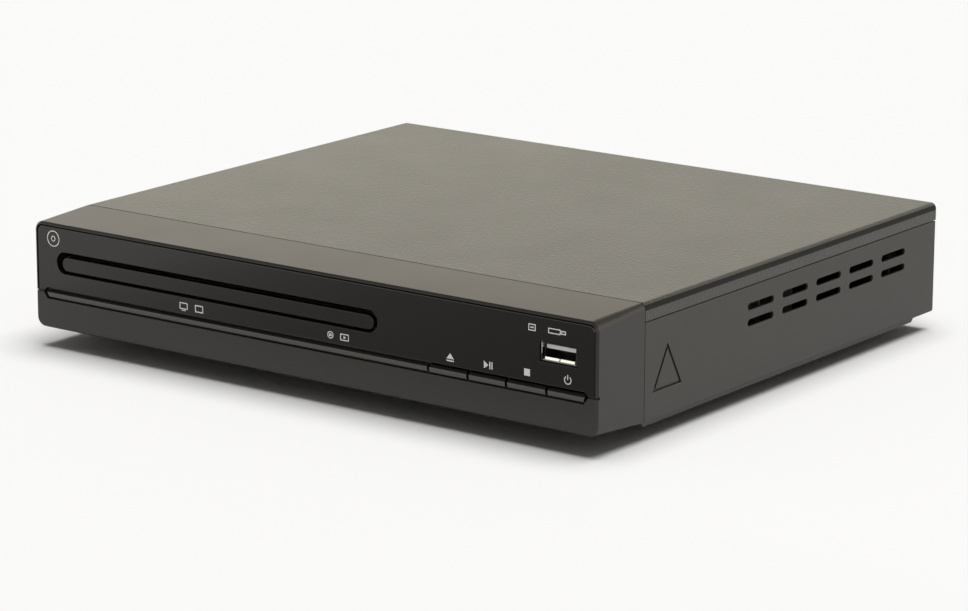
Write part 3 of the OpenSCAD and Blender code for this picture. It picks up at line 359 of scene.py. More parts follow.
@dataclass(frozen=True)
class Finish:
    """A moulded, painted or printed surface.

    Attributes:
        name: The start of the material's name.
        colour: Its linear colour.
        roughness: Its roughness.
        grain: The grain's size and depth in millimetres, depth 0 for none.
        patch: How much the roughness wanders.
        dust: How much dust lies on faces that look up.
        speck: How much the grain shows as colour.
        metallic: 1 for metal.
        specular: The shader's specular level.
        coat: The weight of a clear coat.
        coat_roughness: That coat's roughness.
    """

    name: str
    colour: Colour
    roughness: float = 0.45
    grain: Flat = (0.6, 0.0)
    patch: float = 0.05
    dust: float = 0.04
    speck: float = 0.0
    metallic: float = 0.0
    specular: float = 0.5
    coat: float = 0.0
    coat_roughness: float = 0.06

    def material(self) -> Material:
        """Make the material with its shader's constants.

        Returns:
            The material, made the first time it is asked for.
        """
        full_name = f"{self.name}_finish"
        known = bpy.data.materials.get(full_name)
        if known:
            return known
        made = bpy.data.materials.new(full_name)
        made.use_nodes = True
        tree = made.node_tree
        shader = tree.nodes["Principled BSDF"]
        shader.inputs["Specular IOR Level"].default_value = self.specular
        shader.inputs["Coat Weight"].default_value = self.coat
        shader.inputs["Coat Roughness"].default_value = self.coat_roughness
        shader.inputs["Metallic"].default_value = self.metallic
        made.diffuse_color = (*self.colour, 1.0)
        self.paint(tree, shader)
        return made

    def base_colour(self, tree: Tree) -> Value:
        """Return the surface's own colour."""
        return self.colour

    def paint(self, tree: Tree, shader: Node) -> None:
        """Wire the colour, roughness and relief into the shader.

        Args:
            tree: The material's tree.
            shader: Its Principled BSDF.
        """
        marks = self.handling(tree, shader)
        base = self.base_colour(tree)
        size, depth = self.grain
        if depth > 0:
            mask = Groups.place(tree, "grain", Size=size).outputs["Mask"]
            if self.speck > 0:
                lighter = tuple(min(1.0, c * (1 + 2 * self.speck)) for c in self.colour)
                base = mix_colour(tree, mask, base, lighter)
            self.relief(tree, shader, mask, depth * MM)
        self.colour_in(tree, shader, base, marks)

    def handling(self, tree: Tree, shader: Node) -> Node:
        """Place the handling marks and wire their roughness.

        Args:
            tree: The material's tree.
            shader: Its Principled BSDF.

        Returns:
            The handling marks' node.
        """
        marks = Groups.place(tree, "wear", Roughness=self.roughness, Patch=self.patch, Dust=self.dust)
        link(tree, marks.outputs["Roughness"], shader.inputs["Roughness"])
        return marks

    def colour_in(self, tree: Tree, shader: Node, base: Value, marks: Node) -> None:
        """Set the base colour, under the dust where the finish has any.

        Args:
            tree: The material's tree.
            shader: Its Principled BSDF.
            base: The colour without the dust.
            marks: The handling marks' node.
        """
        if self.dust > 0:
            base = mix_colour(tree, marks.outputs["Dust"], base, DUST_COLOUR)
        feed(tree, base, shader.inputs["Base Color"])

    @staticmethod
    def relief(tree: Tree, shader: Node, height: Socket, depth: float) -> None:
        """Feed a height into the shader's normal.

        Args:
            tree: The material's tree.
            shader: Its Principled BSDF.
            height: The height, 0 to 1.
            depth: The relief's depth in metres.
        """
        bump = tree.nodes.new("ShaderNodeBump")
        bump.inputs["Distance"].default_value = depth
        link(tree, height, bump.inputs["Height"])
        link(tree, bump.outputs["Normal"], shader.inputs["Normal"])


@dataclass(frozen=True)
class SheetFinish(Finish):
    """Plated or rolled sheet metal, with lines along X.

    Attributes:
        line_depth: The lines' depth in millimetres.
        line_strength: How much the lines change the roughness.
    """

    metallic: float = 1.0
    line_depth: float = 0.01
    line_strength: float = 0.25

    def paint(self, tree: Tree, shader: Node) -> None:
        """Wire the rolled lines into the roughness and the normal.

        Args:
            tree: The material's tree.
            shader: Its Principled BSDF.
        """
        lines = Groups.place(tree, "brush", Strength=self.line_strength)
        marks = self.handling(tree, shader)
        rough = maths(tree, "ADD", marks.outputs["Roughness"], lines.outputs["Change"], clamp=True)
        link(tree, rough, shader.inputs["Roughness"])
        self.colour_in(tree, shader, self.colour, marks)
        self.relief(tree, shader, lines.outputs["Height"], self.line_depth * MM)


@dataclass(frozen=True)
class BoardFinish(Finish):
    """A circuit board: lacquer over copper tracks that show as lighter lines.

    Attributes:
        track: The tracks' colour.
        track_pitch: From one track to the next, in millimetres.
        track_width: The tracks' width as a share of a field between them.
        field_share: How dark every second field is.
    """

    track: Colour = (0.05, 0.2, 0.08)
    track_pitch: float = 2.2
    track_width: float = 0.06
    field_share: float = 0.8

    def base_colour(self, tree: Tree) -> Value:
        """Draw the tracks over the lacquer.

        Args:
            tree: The material's tree.

        Returns:
            The lacquer's colour, lighter over the tracks.
        """
        tracks = tree.nodes.new("ShaderNodeTexBrick")
        fields_per_unit = 4
        darker = tuple(self.field_share * c for c in self.colour)
        values = {
            "Scale": 1 / (self.track_pitch * MM * fields_per_unit),
            "Mortar Size": self.track_width,
            "Mortar Smooth": 0.0,
            "Color1": (*self.colour, 1.0),
            "Color2": (*darker, 1.0),
            "Mortar": (*self.track, 1.0),
        }
        for name, value in values.items():
            tracks.inputs[name].default_value = value
        link(tree, own_coordinates(tree), tracks.inputs["Vector"])
        return tracks.outputs["Color"]


@dataclass(frozen=True)
class BandedFinish(Finish):
    """A finish whose colour changes in steps along X, as a row of coloured rings.

    Attributes:
        edges: Where each step ends, in millimetres.
        colours: The steps' colours, one more than there are edges.
    """

    edges: tuple[float, ...] = ()
    colours: tuple[Colour, ...] = ()

    def base_colour(self, tree: Tree) -> Value:
        """Change the colour at every edge.

        Args:
            tree: The material's tree.

        Returns:
            The colour of the step that the surface lies in.
        """
        across = axes(tree, own_coordinates(tree)).outputs["X"]
        result: Value = self.colours[0]
        for edge, colour in zip(self.edges, self.colours[1:]):
            result = mix_colour(tree, maths(tree, "GREATER_THAN", across, edge * MM), result, colour)
        return result


@dataclass(frozen=True)
class StripedFinish(Finish):
    """A flat cable: bright conductors under a film, side by side along X.

    Attributes:
        pitch: From one conductor to the next, in millimetres.
        gap: The gap between two, as a share of the pitch.
        stripe: The conductors' colour.
    """

    pitch: float = 1.0
    gap: float = 0.45
    stripe: Colour = (0.35, 0.35, 0.34)

    def base_colour(self, tree: Tree) -> Value:
        """Draw the conductors under the film.

        Args:
            tree: The material's tree.

        Returns:
            The film's colour, with the conductors showing.
        """
        across = axes(tree, own_coordinates(tree)).outputs["X"]
        phase = maths(tree, "FRACT", maths(tree, "DIVIDE", across, self.pitch * MM), 0.0)
        return mix_colour(tree, maths(tree, "GREATER_THAN", phase, self.gap), self.colour, self.stripe)


@dataclass(frozen=True)
class FadingPaper(Finish):
    """A paper that is pale at one end and darkens evenly along X.

    Attributes:
        start: Where it begins to darken, in metres.
        reach: The length in which the difference falls to about a third, in metres.
        far: The colour that it comes to, as a share of the one it has at the start.
    """

    start: float = -0.17
    reach: float = 0.07
    far: float = 0.29

    def base_colour(self, tree: Tree) -> Value:
        """Darken the paper along X.

        Args:
            tree: The material's tree.

        Returns:
            The paper's colour where the surface lies.
        """
        across = axes(tree, own_coordinates(tree)).outputs["X"]
        along = maths(tree, "MAXIMUM", maths(tree, "SUBTRACT", across, self.start), 0.0)
        left = maths(tree, "POWER", math.exp(-1 / self.reach), along)
        dark = tuple(c * self.far for c in self.colour)
        return mix_colour(tree, left, dark, self.colour)


@dataclass(frozen=True)
class GlassFinish(Finish):
    """A small coated lens.

    Attributes:
        clearness: How much light goes through.
    """

    clearness: float = 0.7

    def paint(self, tree: Tree, shader: Node) -> None:
        """Set the glass on the shader and let handling marks wander over it.

        Args:
            tree: The material's tree.
            shader: Its Principled BSDF.
        """
        shader.inputs["Transmission Weight"].default_value = self.clearness
        self.colour_in(tree, shader, self.colour, self.handling(tree, shader))


COVER = Finish("cover_plastic", (0.031, 0.030, 0.0255), 0.38, (0.85, 0.16), patch=0.06, dust=0.08, speck=0.3)
CASE = Finish("case_plastic", (0.034, 0.0295, 0.0265), 0.5, (0.35, 0.010), patch=0.06, dust=0.03, speck=0.08)
MOULDING = Finish("fascia_plastic", (0.0275, 0.0235, 0.0205), 0.38, (0.3, 0.006), dust=0.03, specular=0.42)
GLOSS = Finish("gloss_plate", (0.009, 0.0065, 0.0045), 0.12, dust=0.0)
BAR = Finish("bar_plastic", (0.012, 0.011, 0.010), 0.15, (0.25, 0.001), patch=0.04, dust=0.0, specular=0.75)
DOOR = Finish("door_plastic", (0.011, 0.009, 0.0075), 0.2, (0.25, 0.002), dust=0.0, specular=0.42)
TRAY = Finish("tray_plastic", (0.026, 0.025, 0.024), 0.5, (0.4, 0.02), patch=0.06, dust=0.02, speck=0.1)
RUBBER = Finish("foot_rubber", (0.014, 0.014, 0.014), 0.75, (0.5, 0.03), dust=0.05)
BLACK = Finish("black_moulding", (0.010, 0.010, 0.010), 0.45, (0.4, 0.012), dust=0.02)
# Painted shade: the near-black strip in the cover's front joint.
GAP_SHADE = Finish("painted_gap_shade", (0.004, 0.004, 0.004), 0.9, (0.3, 0.01), dust=0.0, specular=0.1)
# Painted shade: the near-black skin under the cover's round side edges.
EDGE_SHADE = Finish("painted_edge_shade", (0.008, 0.0073, 0.006), 0.5, (0.4, 0.01), dust=0.02, specular=0.12)
PRINT = Finish("front_print", (0.80, 0.79, 0.76), 0.55, (0.15, 0.003), dust=0.0)
STEEL = SheetFinish("rear_sheet", (0.42, 0.42, 0.42), 0.34, patch=0.12, dust=0.02)
BRIGHT = SheetFinish("tin_plate", (0.74, 0.74, 0.72), 0.18, patch=0.08, dust=0.0, line_depth=0.003)
GROUND = SheetFinish("ground_steel", (0.62, 0.62, 0.60), 0.15, patch=0.08, dust=0.0, line_depth=0.002)
CAN = SheetFinish("motor_can", (0.50, 0.50, 0.48), 0.3, patch=0.1, dust=0.0, line_depth=0.006)
ALUMINIUM = SheetFinish("aluminium", (0.52, 0.52, 0.53), 0.38, patch=0.1, dust=0.02, line_depth=0.02)
BLACK_ZINC = SheetFinish("black_zinc", (0.06, 0.06, 0.062), 0.4, patch=0.1, dust=0.0, line_depth=0.004)
ZINC = SheetFinish("zinc_plate", (0.46, 0.46, 0.47), 0.3, patch=0.1, dust=0.0, line_depth=0.004)
GOLD = SheetFinish("gold_flash", (0.75, 0.55, 0.22), 0.22, patch=0.08, dust=0.0, line_depth=0.002)
FRAME_WHITE = Finish(
    "loader_plastic", (0.56, 0.54, 0.49), 0.5, (0.4, 0.012), patch=0.06, dust=0.02, speck=0.03
)
ACETAL = Finish("gear_plastic", (0.68, 0.66, 0.58), 0.36, (0.3, 0.006), dust=0.0)
GREEN_BOARD = BoardFinish("green_board", (0.015, 0.075, 0.03), 0.28, dust=0.03)
TAN_BOARD = BoardFinish(
    "tan_board", (0.24, 0.13, 0.045), 0.55, dust=0.03, track=(0.3, 0.18, 0.07), track_pitch=4.0
)
TONGUE = Finish("socket_tongue", (0.72, 0.71, 0.67), 0.4, (0.3, 0.004), dust=0.0)
SWITCH = Finish("switch_plastic", (0.38, 0.37, 0.34), 0.5, (0.3, 0.006))
SLEEVE = Finish("capacitor_sleeve", (0.018, 0.022, 0.035), 0.25, (0.3, 0.003))
NYLON = Finish("header_nylon", (0.70, 0.67, 0.58), 0.4, (0.3, 0.004))
TAPE = Finish("transformer_tape", (0.50, 0.32, 0.05), 0.32, (1.2, 0.02))
BROWN_WIRE = Finish("brown_wire", (0.10, 0.05, 0.022), 0.35, (0.4, 0.004))
RED_WIRE = Finish("red_wire", (0.36, 0.03, 0.022), 0.35, (0.4, 0.004))
RIBBON = StripedFinish("flat_cable", (0.66, 0.64, 0.58), 0.3)
LENS = GlassFinish("pickup_lens", (0.30, 0.42, 0.62), 0.05, dust=0.0, coat=1.0)
JACKS = BandedFinish(
    "jack_rings",
    (0.5, 0.3, 0.06),
    0.32,
    edges=(-39.0, -26.0, -14.0),
    colours=((0.012, 0.012, 0.013), (0.42, 0.03, 0.022), (0.66, 0.65, 0.61), (0.72, 0.5, 0.05)),
)

WORN_BY: dict[Finish, tuple[str, ...]] = {
    CASE: ("lower_case",),
    COVER: ("top_cover",),
    MOULDING: ("fascia",),
    GLOSS: ("front_panel",),
    BAR: ("trim_bar", "button_eject", "button_play", "button_stop", "button_power"),
    DOOR: ("tray_door",),
    TRAY: ("disc_tray",),
    RUBBER: ("rubber_feet", "turntable", "drive_belt", "grommets"),
    BLACK: ("ir_receiver", "board_chips", "jack_block", "scart_socket", "mains_inlet"),
    STEEL: ("rear_panel", "traverse_plate", "clamp_bridge"),
    BRIGHT: ("usb_socket", "hdmi_socket", "jack_barrels", "inlet_pins"),
    GROUND: ("spindle_shaft", "guide_rods", "lead_screw"),
    CAN: ("spindle_motor", "sled_motor", "tray_motor"),
    ALUMINIUM: ("pickup", "heat_sink"),
    BLACK_ZINC: ("case_screws",),
    ZINC: ("loader_screws", "board_screws"),
    GOLD: ("scart_contacts",),
    FRAME_WHITE: ("loader_frame",),
    ACETAL: ("motor_pulley", "pulley_gear", "drive_gear", "cam_slider", "clamper"),
    GREEN_BOARD: ("front_board", "main_board"),
    TAN_BOARD: ("power_board",),
    TONGUE: ("usb_tongue",),
    SWITCH: ("tact_switches",),
    SLEEVE: ("board_capacitors", "power_capacitors"),
    NYLON: ("board_headers",),
    TAPE: ("transformer",),
    BROWN_WIRE: ("mains_wires",),
    RED_WIRE: ("power_wires",),
    RIBBON: ("flat_cable",),
    LENS: ("pickup_lens",),
    JACKS: ("jack_insulators",),
}


# ---------------------------------------------------------------- meshes


def add_object(name: str, data: bpy.types.ID) -> Piece:
    """Make an object and put it in the scene.

    Args:
        name: Its name.
        data: What it shows: a mesh, a lamp or a camera.

    Returns:
        The object.
    """
    made = bpy.data.objects.new(name, data)
    bpy.context.scene.collection.objects.link(made)
    return made


def add_mesh(name: str, build: Mesh) -> Piece:
    """Turn a mesh under construction into an object in the scene.

    Args:
        name: The object's name.
        build: The mesh, which is freed.

    Returns:
        The object.
    """
    mesh = bpy.data.meshes.new(name)
    build.to_mesh(mesh)
    build.free()
    return add_object(name, mesh)


def piece_from(name: str, build: Mesh, finish: Finish) -> Piece:
    """Finish a mesh as a piece that rides on the chassis.

    Args:
        name: The piece's name.
        build: Its mesh, in place; it is freed.
        finish: What it is made of.

    Returns:
        The piece, with its object at the origin.
    """
    bmesh.ops.remove_doubles(build, verts=build.verts, dist=MERGE_DISTANCE)
    bmesh.ops.recalc_face_normals(build, faces=build.faces)
    piece = add_mesh(name, build)
    piece.data.materials.append(finish.material())
    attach(piece, CHASSIS)
    return piece


def prism(build: Mesh, outline: Sequence[Vector], away: Vector) -> None:
    """Add a solid with a flat outline.

    Args:
        build: The mesh to add to.
        outline: The corners of one end, in order.
        away: How far and which way the other end lies.
    """
    near = [build.verts.new(p) for p in outline]
    far = [build.verts.new(p + away) for p in outline]
    build.faces.new(near)
    build.faces.new(list(reversed(far)))
    for i in range(len(near)):
        j = (i + 1) % len(near)
        build.faces.new([near[j], near[i], far[i], far[j]])


def arc(centre: Flat, radius: float, start: float, end: float, steps: int) -> list[Flat]:
    """Return points on an arc, angles in degrees, ends included."""
    angles = [math.radians(start + (end - start) * i / steps) for i in range(steps + 1)]
    return [(centre[0] + radius * math.cos(a), centre[1] + radius * math.sin(a)) for a in angles]


def rounded_box(centre: Flat, width: float, height: float, radius: float) -> list[Flat]:
    """Draw a rectangle with round corners, four steps to a corner.

    Args:
        centre: Its middle.
        width: Its width.
        height: Its height.
        radius: The corners' radius.

    Returns:
        The points of its outline.
    """
    points: list[Flat] = []
    for turn, (sx, sz) in enumerate(((1, 1), (-1, 1), (-1, -1), (1, -1))):
        corner = (centre[0] + sx * (width / 2 - radius), centre[1] + sz * (height / 2 - radius))
        points += arc(corner, radius, 90 * turn, 90 * turn + 90, 4)
    return points


def geometry_tree(name: str, **inputs: str) -> tuple[Tree, Node, Node]:
    """Make an empty Geometry Nodes tree that takes a geometry and gives one.

    Args:
        name: The tree's name.
        **inputs: The kind of each further input, by name.

    Returns:
        The tree, its Group Input node and its Group Output node.
    """
    tree = bpy.data.node_groups.new(name, "GeometryNodeTree")
    for key, kind in {"Geometry": "Geometry", **inputs}.items():
        tree.interface.new_socket(name=key, in_out="INPUT", socket_type=f"NodeSocket{kind}")
    tree.interface.new_socket(name="Geometry", in_out="OUTPUT", socket_type="NodeSocketGeometry")
    return tree, tree.nodes.new("NodeGroupInput"), tree.nodes.new("NodeGroupOutput")


def shade_tree() -> Tree:
    """Make the Geometry Nodes tree that shades a mesh smooth but for its sharp edges.

    Returns:
        The tree, made the first time it is asked for.
    """
    known = bpy.data.node_groups.get("shade_by_angle")
    if known:
        return known
    tree, source, target = geometry_tree("shade_by_angle", Angle="Float")
    tree.interface.items_tree["Angle"].default_value = SHARP_ANGLE
    edge = tree.nodes.new("GeometryNodeInputMeshEdgeAngle")
    flat_enough = tree.nodes.new("FunctionNodeCompare")
    flat_enough.operation = "LESS_THAN"
    faces = tree.nodes.new("GeometryNodeSetShadeSmooth")
    edges = tree.nodes.new("GeometryNodeSetShadeSmooth")
    edges.domain = "EDGE"
    link(tree, edge.outputs["Unsigned Angle"], flat_enough.inputs[0])
    link(tree, source.outputs["Angle"], flat_enough.inputs[1])
    link(tree, source.outputs["Geometry"], faces.inputs["Geometry"])
    link(tree, faces.outputs["Geometry"], edges.inputs["Geometry"])
    link(tree, flat_enough.outputs["Result"], edges.inputs["Shade Smooth"])
    link(tree, edges.outputs["Geometry"], target.inputs["Geometry"])
    return tree


def soften(piece: Piece, width: float) -> None:
    """Give a mesh small round edges and smooth shading.

    Args:
        piece: The piece or CAD node.
        width: The edges' width in millimetres, 0 for sharp ones.
    """
    weld = piece.modifiers.new("weld", "WELD")
    weld.merge_threshold = WELD_DISTANCE
    flatten = piece.modifiers.new("flatten", "DECIMATE")
    flatten.decimate_type = "DISSOLVE"
    flatten.angle_limit = FLAT_ANGLE
    shade = piece.modifiers.new("shade", "NODES")
    shade.node_group = shade_tree()
    if width > 0:
        edge = piece.modifiers.new("edges", "BEVEL")
        edge.width = width * MM
        edge.segments = 2
        edge.limit_method = "ANGLE"
        edge.angle_limit = SHARP_ANGLE
        edge.use_clamp_overlap = True
        edge.harden_normals = True


# ---------------------------------------------------------------- repeats


class RowOfCopies:
    """Copies one small mesh along a line with Geometry Nodes.

    Attributes:
        made: The node tree, once it is made.
    """

    made: Tree | None = None

    @classmethod
    def node_tree(cls) -> Tree:
        """Make the tree: a line of points with the mesh on each, realized and given its material.

        Returns:
            The tree, made the first time it is asked for.
        """
        if cls.made:
            return cls.made
        tree, group_in, group_out = geometry_tree(
            "row_of_copies", Count="Int", Start="Vector", Step="Vector", Material="Material"
        )
        source, target = group_in.outputs, group_out.inputs
        line = tree.nodes.new("GeometryNodeMeshLine")
        line.mode = "OFFSET"
        copies = tree.nodes.new("GeometryNodeInstanceOnPoints")
        real = tree.nodes.new("GeometryNodeRealizeInstances")
        paint = tree.nodes.new("GeometryNodeSetMaterial")
        for start, end in (
            (source["Count"], line.inputs["Count"]),
            (source["Start"], line.inputs["Start Location"]),
            (source["Step"], line.inputs["Offset"]),
            (line.outputs["Mesh"], copies.inputs["Points"]),
            (source["Geometry"], copies.inputs["Instance"]),
            (copies.outputs["Instances"], real.inputs["Geometry"]),
            (real.outputs["Geometry"], paint.inputs["Geometry"]),
            (source["Material"], paint.inputs["Material"]),
            (paint.outputs["Geometry"], target["Geometry"]),
        ):
            link(tree, start, end)
        cls.made = tree
        return tree

    @classmethod
    def add(cls, build: Mesh, seed: Mesh, finish: Finish, row: Row) -> None:
        """Add a row of copies to a mesh.

        Args:
            build: The mesh to add to.
            seed: The mesh to copy, around the origin; it is freed.
            finish: Its finish.
            row: How many copies, where the first one goes, and from one to the next.
        """
        holder = add_mesh("seed", seed)
        mesh = holder.data
        modifier = holder.modifiers.new("row", "NODES")
        tree = cls.node_tree()
        modifier.node_group = tree
        values = {**dict(zip(("Count", "Start", "Step"), row)), "Material": finish.material()}
        for item in tree.interface.items_tree:
            if item.in_out == "INPUT" and item.name in values:
                modifier[item.identifier] = values[item.name]
        bpy.context.view_layer.update()
        graph = bpy.context.evaluated_depsgraph_get()
        real = bpy.data.meshes.new_from_object(holder.evaluated_get(graph))
        build.from_mesh(real)
        bpy.data.objects.remove(holder)
        bpy.data.meshes.remove(mesh)
        bpy.data.meshes.remove(real)


# ---------------------------------------------------------------- sub-assemblies


@dataclass
class Casework:
    """The cover, the case, the feet and everything else that CAD gives its shape.

    Attributes:
        edge_widths: The width of the round edges in millimetres, and the nodes that have them.
    """

    edge_widths: dict[float, tuple[str, ...]] = field(
        default_factory=lambda: {
            0.08: ("rear_panel",),
            0.12: ("trim_bar",),
            0.15: (
                *("button_eject", "button_play", "button_stop", "button_power"),
                *("usb_tongue", "jack_barrels", "jack_insulators"),
            ),
            0.2: ("lower_case", "top_cover"),
            0.22: ("fascia",),
            0.25: ("front_panel",),
            0.3: ("tray_door", "disc_tray", "mains_inlet", "scart_socket"),
            0.4: ("rubber_feet",),
        }
    )

    def dress(self, nodes: dict[str, Piece]) -> None:
        """Give every CAD node its finish, its round edges and smooth shading.

        Args:
            nodes: The frame's nodes.
        """
        finishes = {name: finish for finish, names in WORN_BY.items() for name in names}
        widths = {name: width for width, names in self.edge_widths.items() for name in names}
        for name, node in nodes.items():
            node.data.materials.clear()
            node.data.materials.append(finishes[name].material())
            soften(node, widths.get(name, 0.0))
            log.info("dressed %s", name)


@dataclass
class FrontPrints:
    """The light symbols on the gloss plate: plain, usual ones and no words.

    Places are in millimetres from the left side of the front and from the case's bottom.

    Attributes:
        bench: Turns these places into places in the frame.
        half_width: From the left side to the middle.
        proud: How far the print stands out of the plate.
        sunk: How far it reaches into it.
        line: The width of a drawn line.
        steps: How many parts a ring has.
        build: The mesh that the symbols are drawn in.
    """

    bench: Bench
    half_width: float = 112.5
    proud: float = 0.03
    sunk: float = 0.01
    line: float = 0.32
    steps: int = 28
    build: Mesh = field(default_factory=bmesh.new)

    def shape(self, points: Iterable[Flat]) -> None:
        """Add one filled outline on the plate.

        Args:
            points: Its corners, in order.
        """
        outline = [self.bench.at(x - self.half_width, 0, z) for x, z in points]
        for corner in outline:
            corner.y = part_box("front_panel")[0].y - self.proud * MM
        prism(self.build, outline, Vector((0, (self.proud + self.sunk) * MM, 0)))

    def stroke(self, outer: Sequence[Flat], inner: Sequence[Flat], closed: bool = True) -> None:
        """Add a line between two outlines with as many points.

        Args:
            outer: One side of the line.
            inner: The other side.
            closed: Whether the line ends where it starts.
        """
        last = len(outer) if closed else len(outer) - 1
        for i in range(last):
            j = (i + 1) % len(outer)
            self.shape((outer[i], outer[j], inner[j], inner[i]))

    def ring(self, centre: Flat, radius: float, start: float = 0, end: float = 360) -> None:
        """Add a ring or a part of one.

        Args:
            centre: Its middle.
            radius: Its outer radius.
            start: Where it starts, in degrees.
            end: Where it ends, in degrees.
        """
        outer = arc(centre, radius, start, end, self.steps)
        inner = arc(centre, radius - self.line, start, end, self.steps)
        self.stroke(outer, inner, closed=False)

    def bar(self, x0: float, z0: float, x1: float, z1: float) -> None:
        """Add a filled rectangle."""
        self.shape(((x0, z0), (x1, z0), (x1, z1), (x0, z1)))

    def frame(self, centre: Flat, width: float, height: float, radius: float) -> None:
        """Add the line of a round-cornered rectangle.

        Args:
            centre: Its middle.
            width: Its outer width.
            height: Its outer height.
            radius: The radius of its outer corners.
        """
        inset, least_radius = self.line, 0.05
        outer = rounded_box(centre, width, height, radius)
        inner_radius = max(least_radius, radius - inset)
        self.stroke(outer, rounded_box(centre, width - 2 * inset, height - 2 * inset, inner_radius))

    def button_symbols(self) -> None:
        """Draw eject, play and pause, stop and power over their buttons."""
        self.shape(((169.1, 16.75), (171.9, 16.75), (170.5, 18.5)))
        self.bar(169.1, 15.95, 171.9, 16.35)
        self.shape(((183.2, 15.9), (184.95, 17.1), (183.2, 18.3)))
        self.bar(185.25, 15.95, 185.65, 18.25)
        self.bar(186.05, 15.95, 186.45, 18.25)
        self.bar(198.2, 16.15, 200.35, 18.3)
        self.ring((214.15, 17.2), 1.35, -235, 55)
        self.bar(213.99, 17.3, 214.31, 18.85)

    def pictures(self) -> None:
        """Draw the plain pictograms: discs, screens, a film frame, a window and a memory stick."""
        self.ring((8.2, 31.3), 2.7)
        self.ring((8.2, 31.3), 0.95)
        self.frame((64.0, 17.1), 3.4, 2.2, 0.3)
        self.bar(63.2, 15.5, 64.8, 15.75)
        self.frame((70.5, 17.0), 3.4, 2.4, 0.2)
        for hole in range(3):
            for low in (17.75, 16.05):
                self.bar(69.15 + hole, low, 69.55 + hole, low + 0.2)
        self.ring((124.0, 17.0), 1.2)
        self.ring((124.0, 17.0), 0.5)
        self.frame((129.6, 17.0), 3.4, 2.2, 0.3)
        self.shape(((129.2, 16.5), (130.3, 17.0), (129.2, 17.5)))
        self.frame((201.0, 31.4), 2.7, 2.1, 0.15)
        self.bar(200.4, 31.2, 201.6, 31.6)
        self.frame((209.2, 31.4), 4.6, 1.7, 0.3)
        self.frame((212.5, 31.4), 1.7, 1.2, 0.1)

    def make(self) -> Piece:
        """Draw all the symbols.

        Returns:
            The symbols, as one piece.
        """
        self.button_symbols()
        self.pictures()
        return piece_from("front_prints", self.build, PRINT)


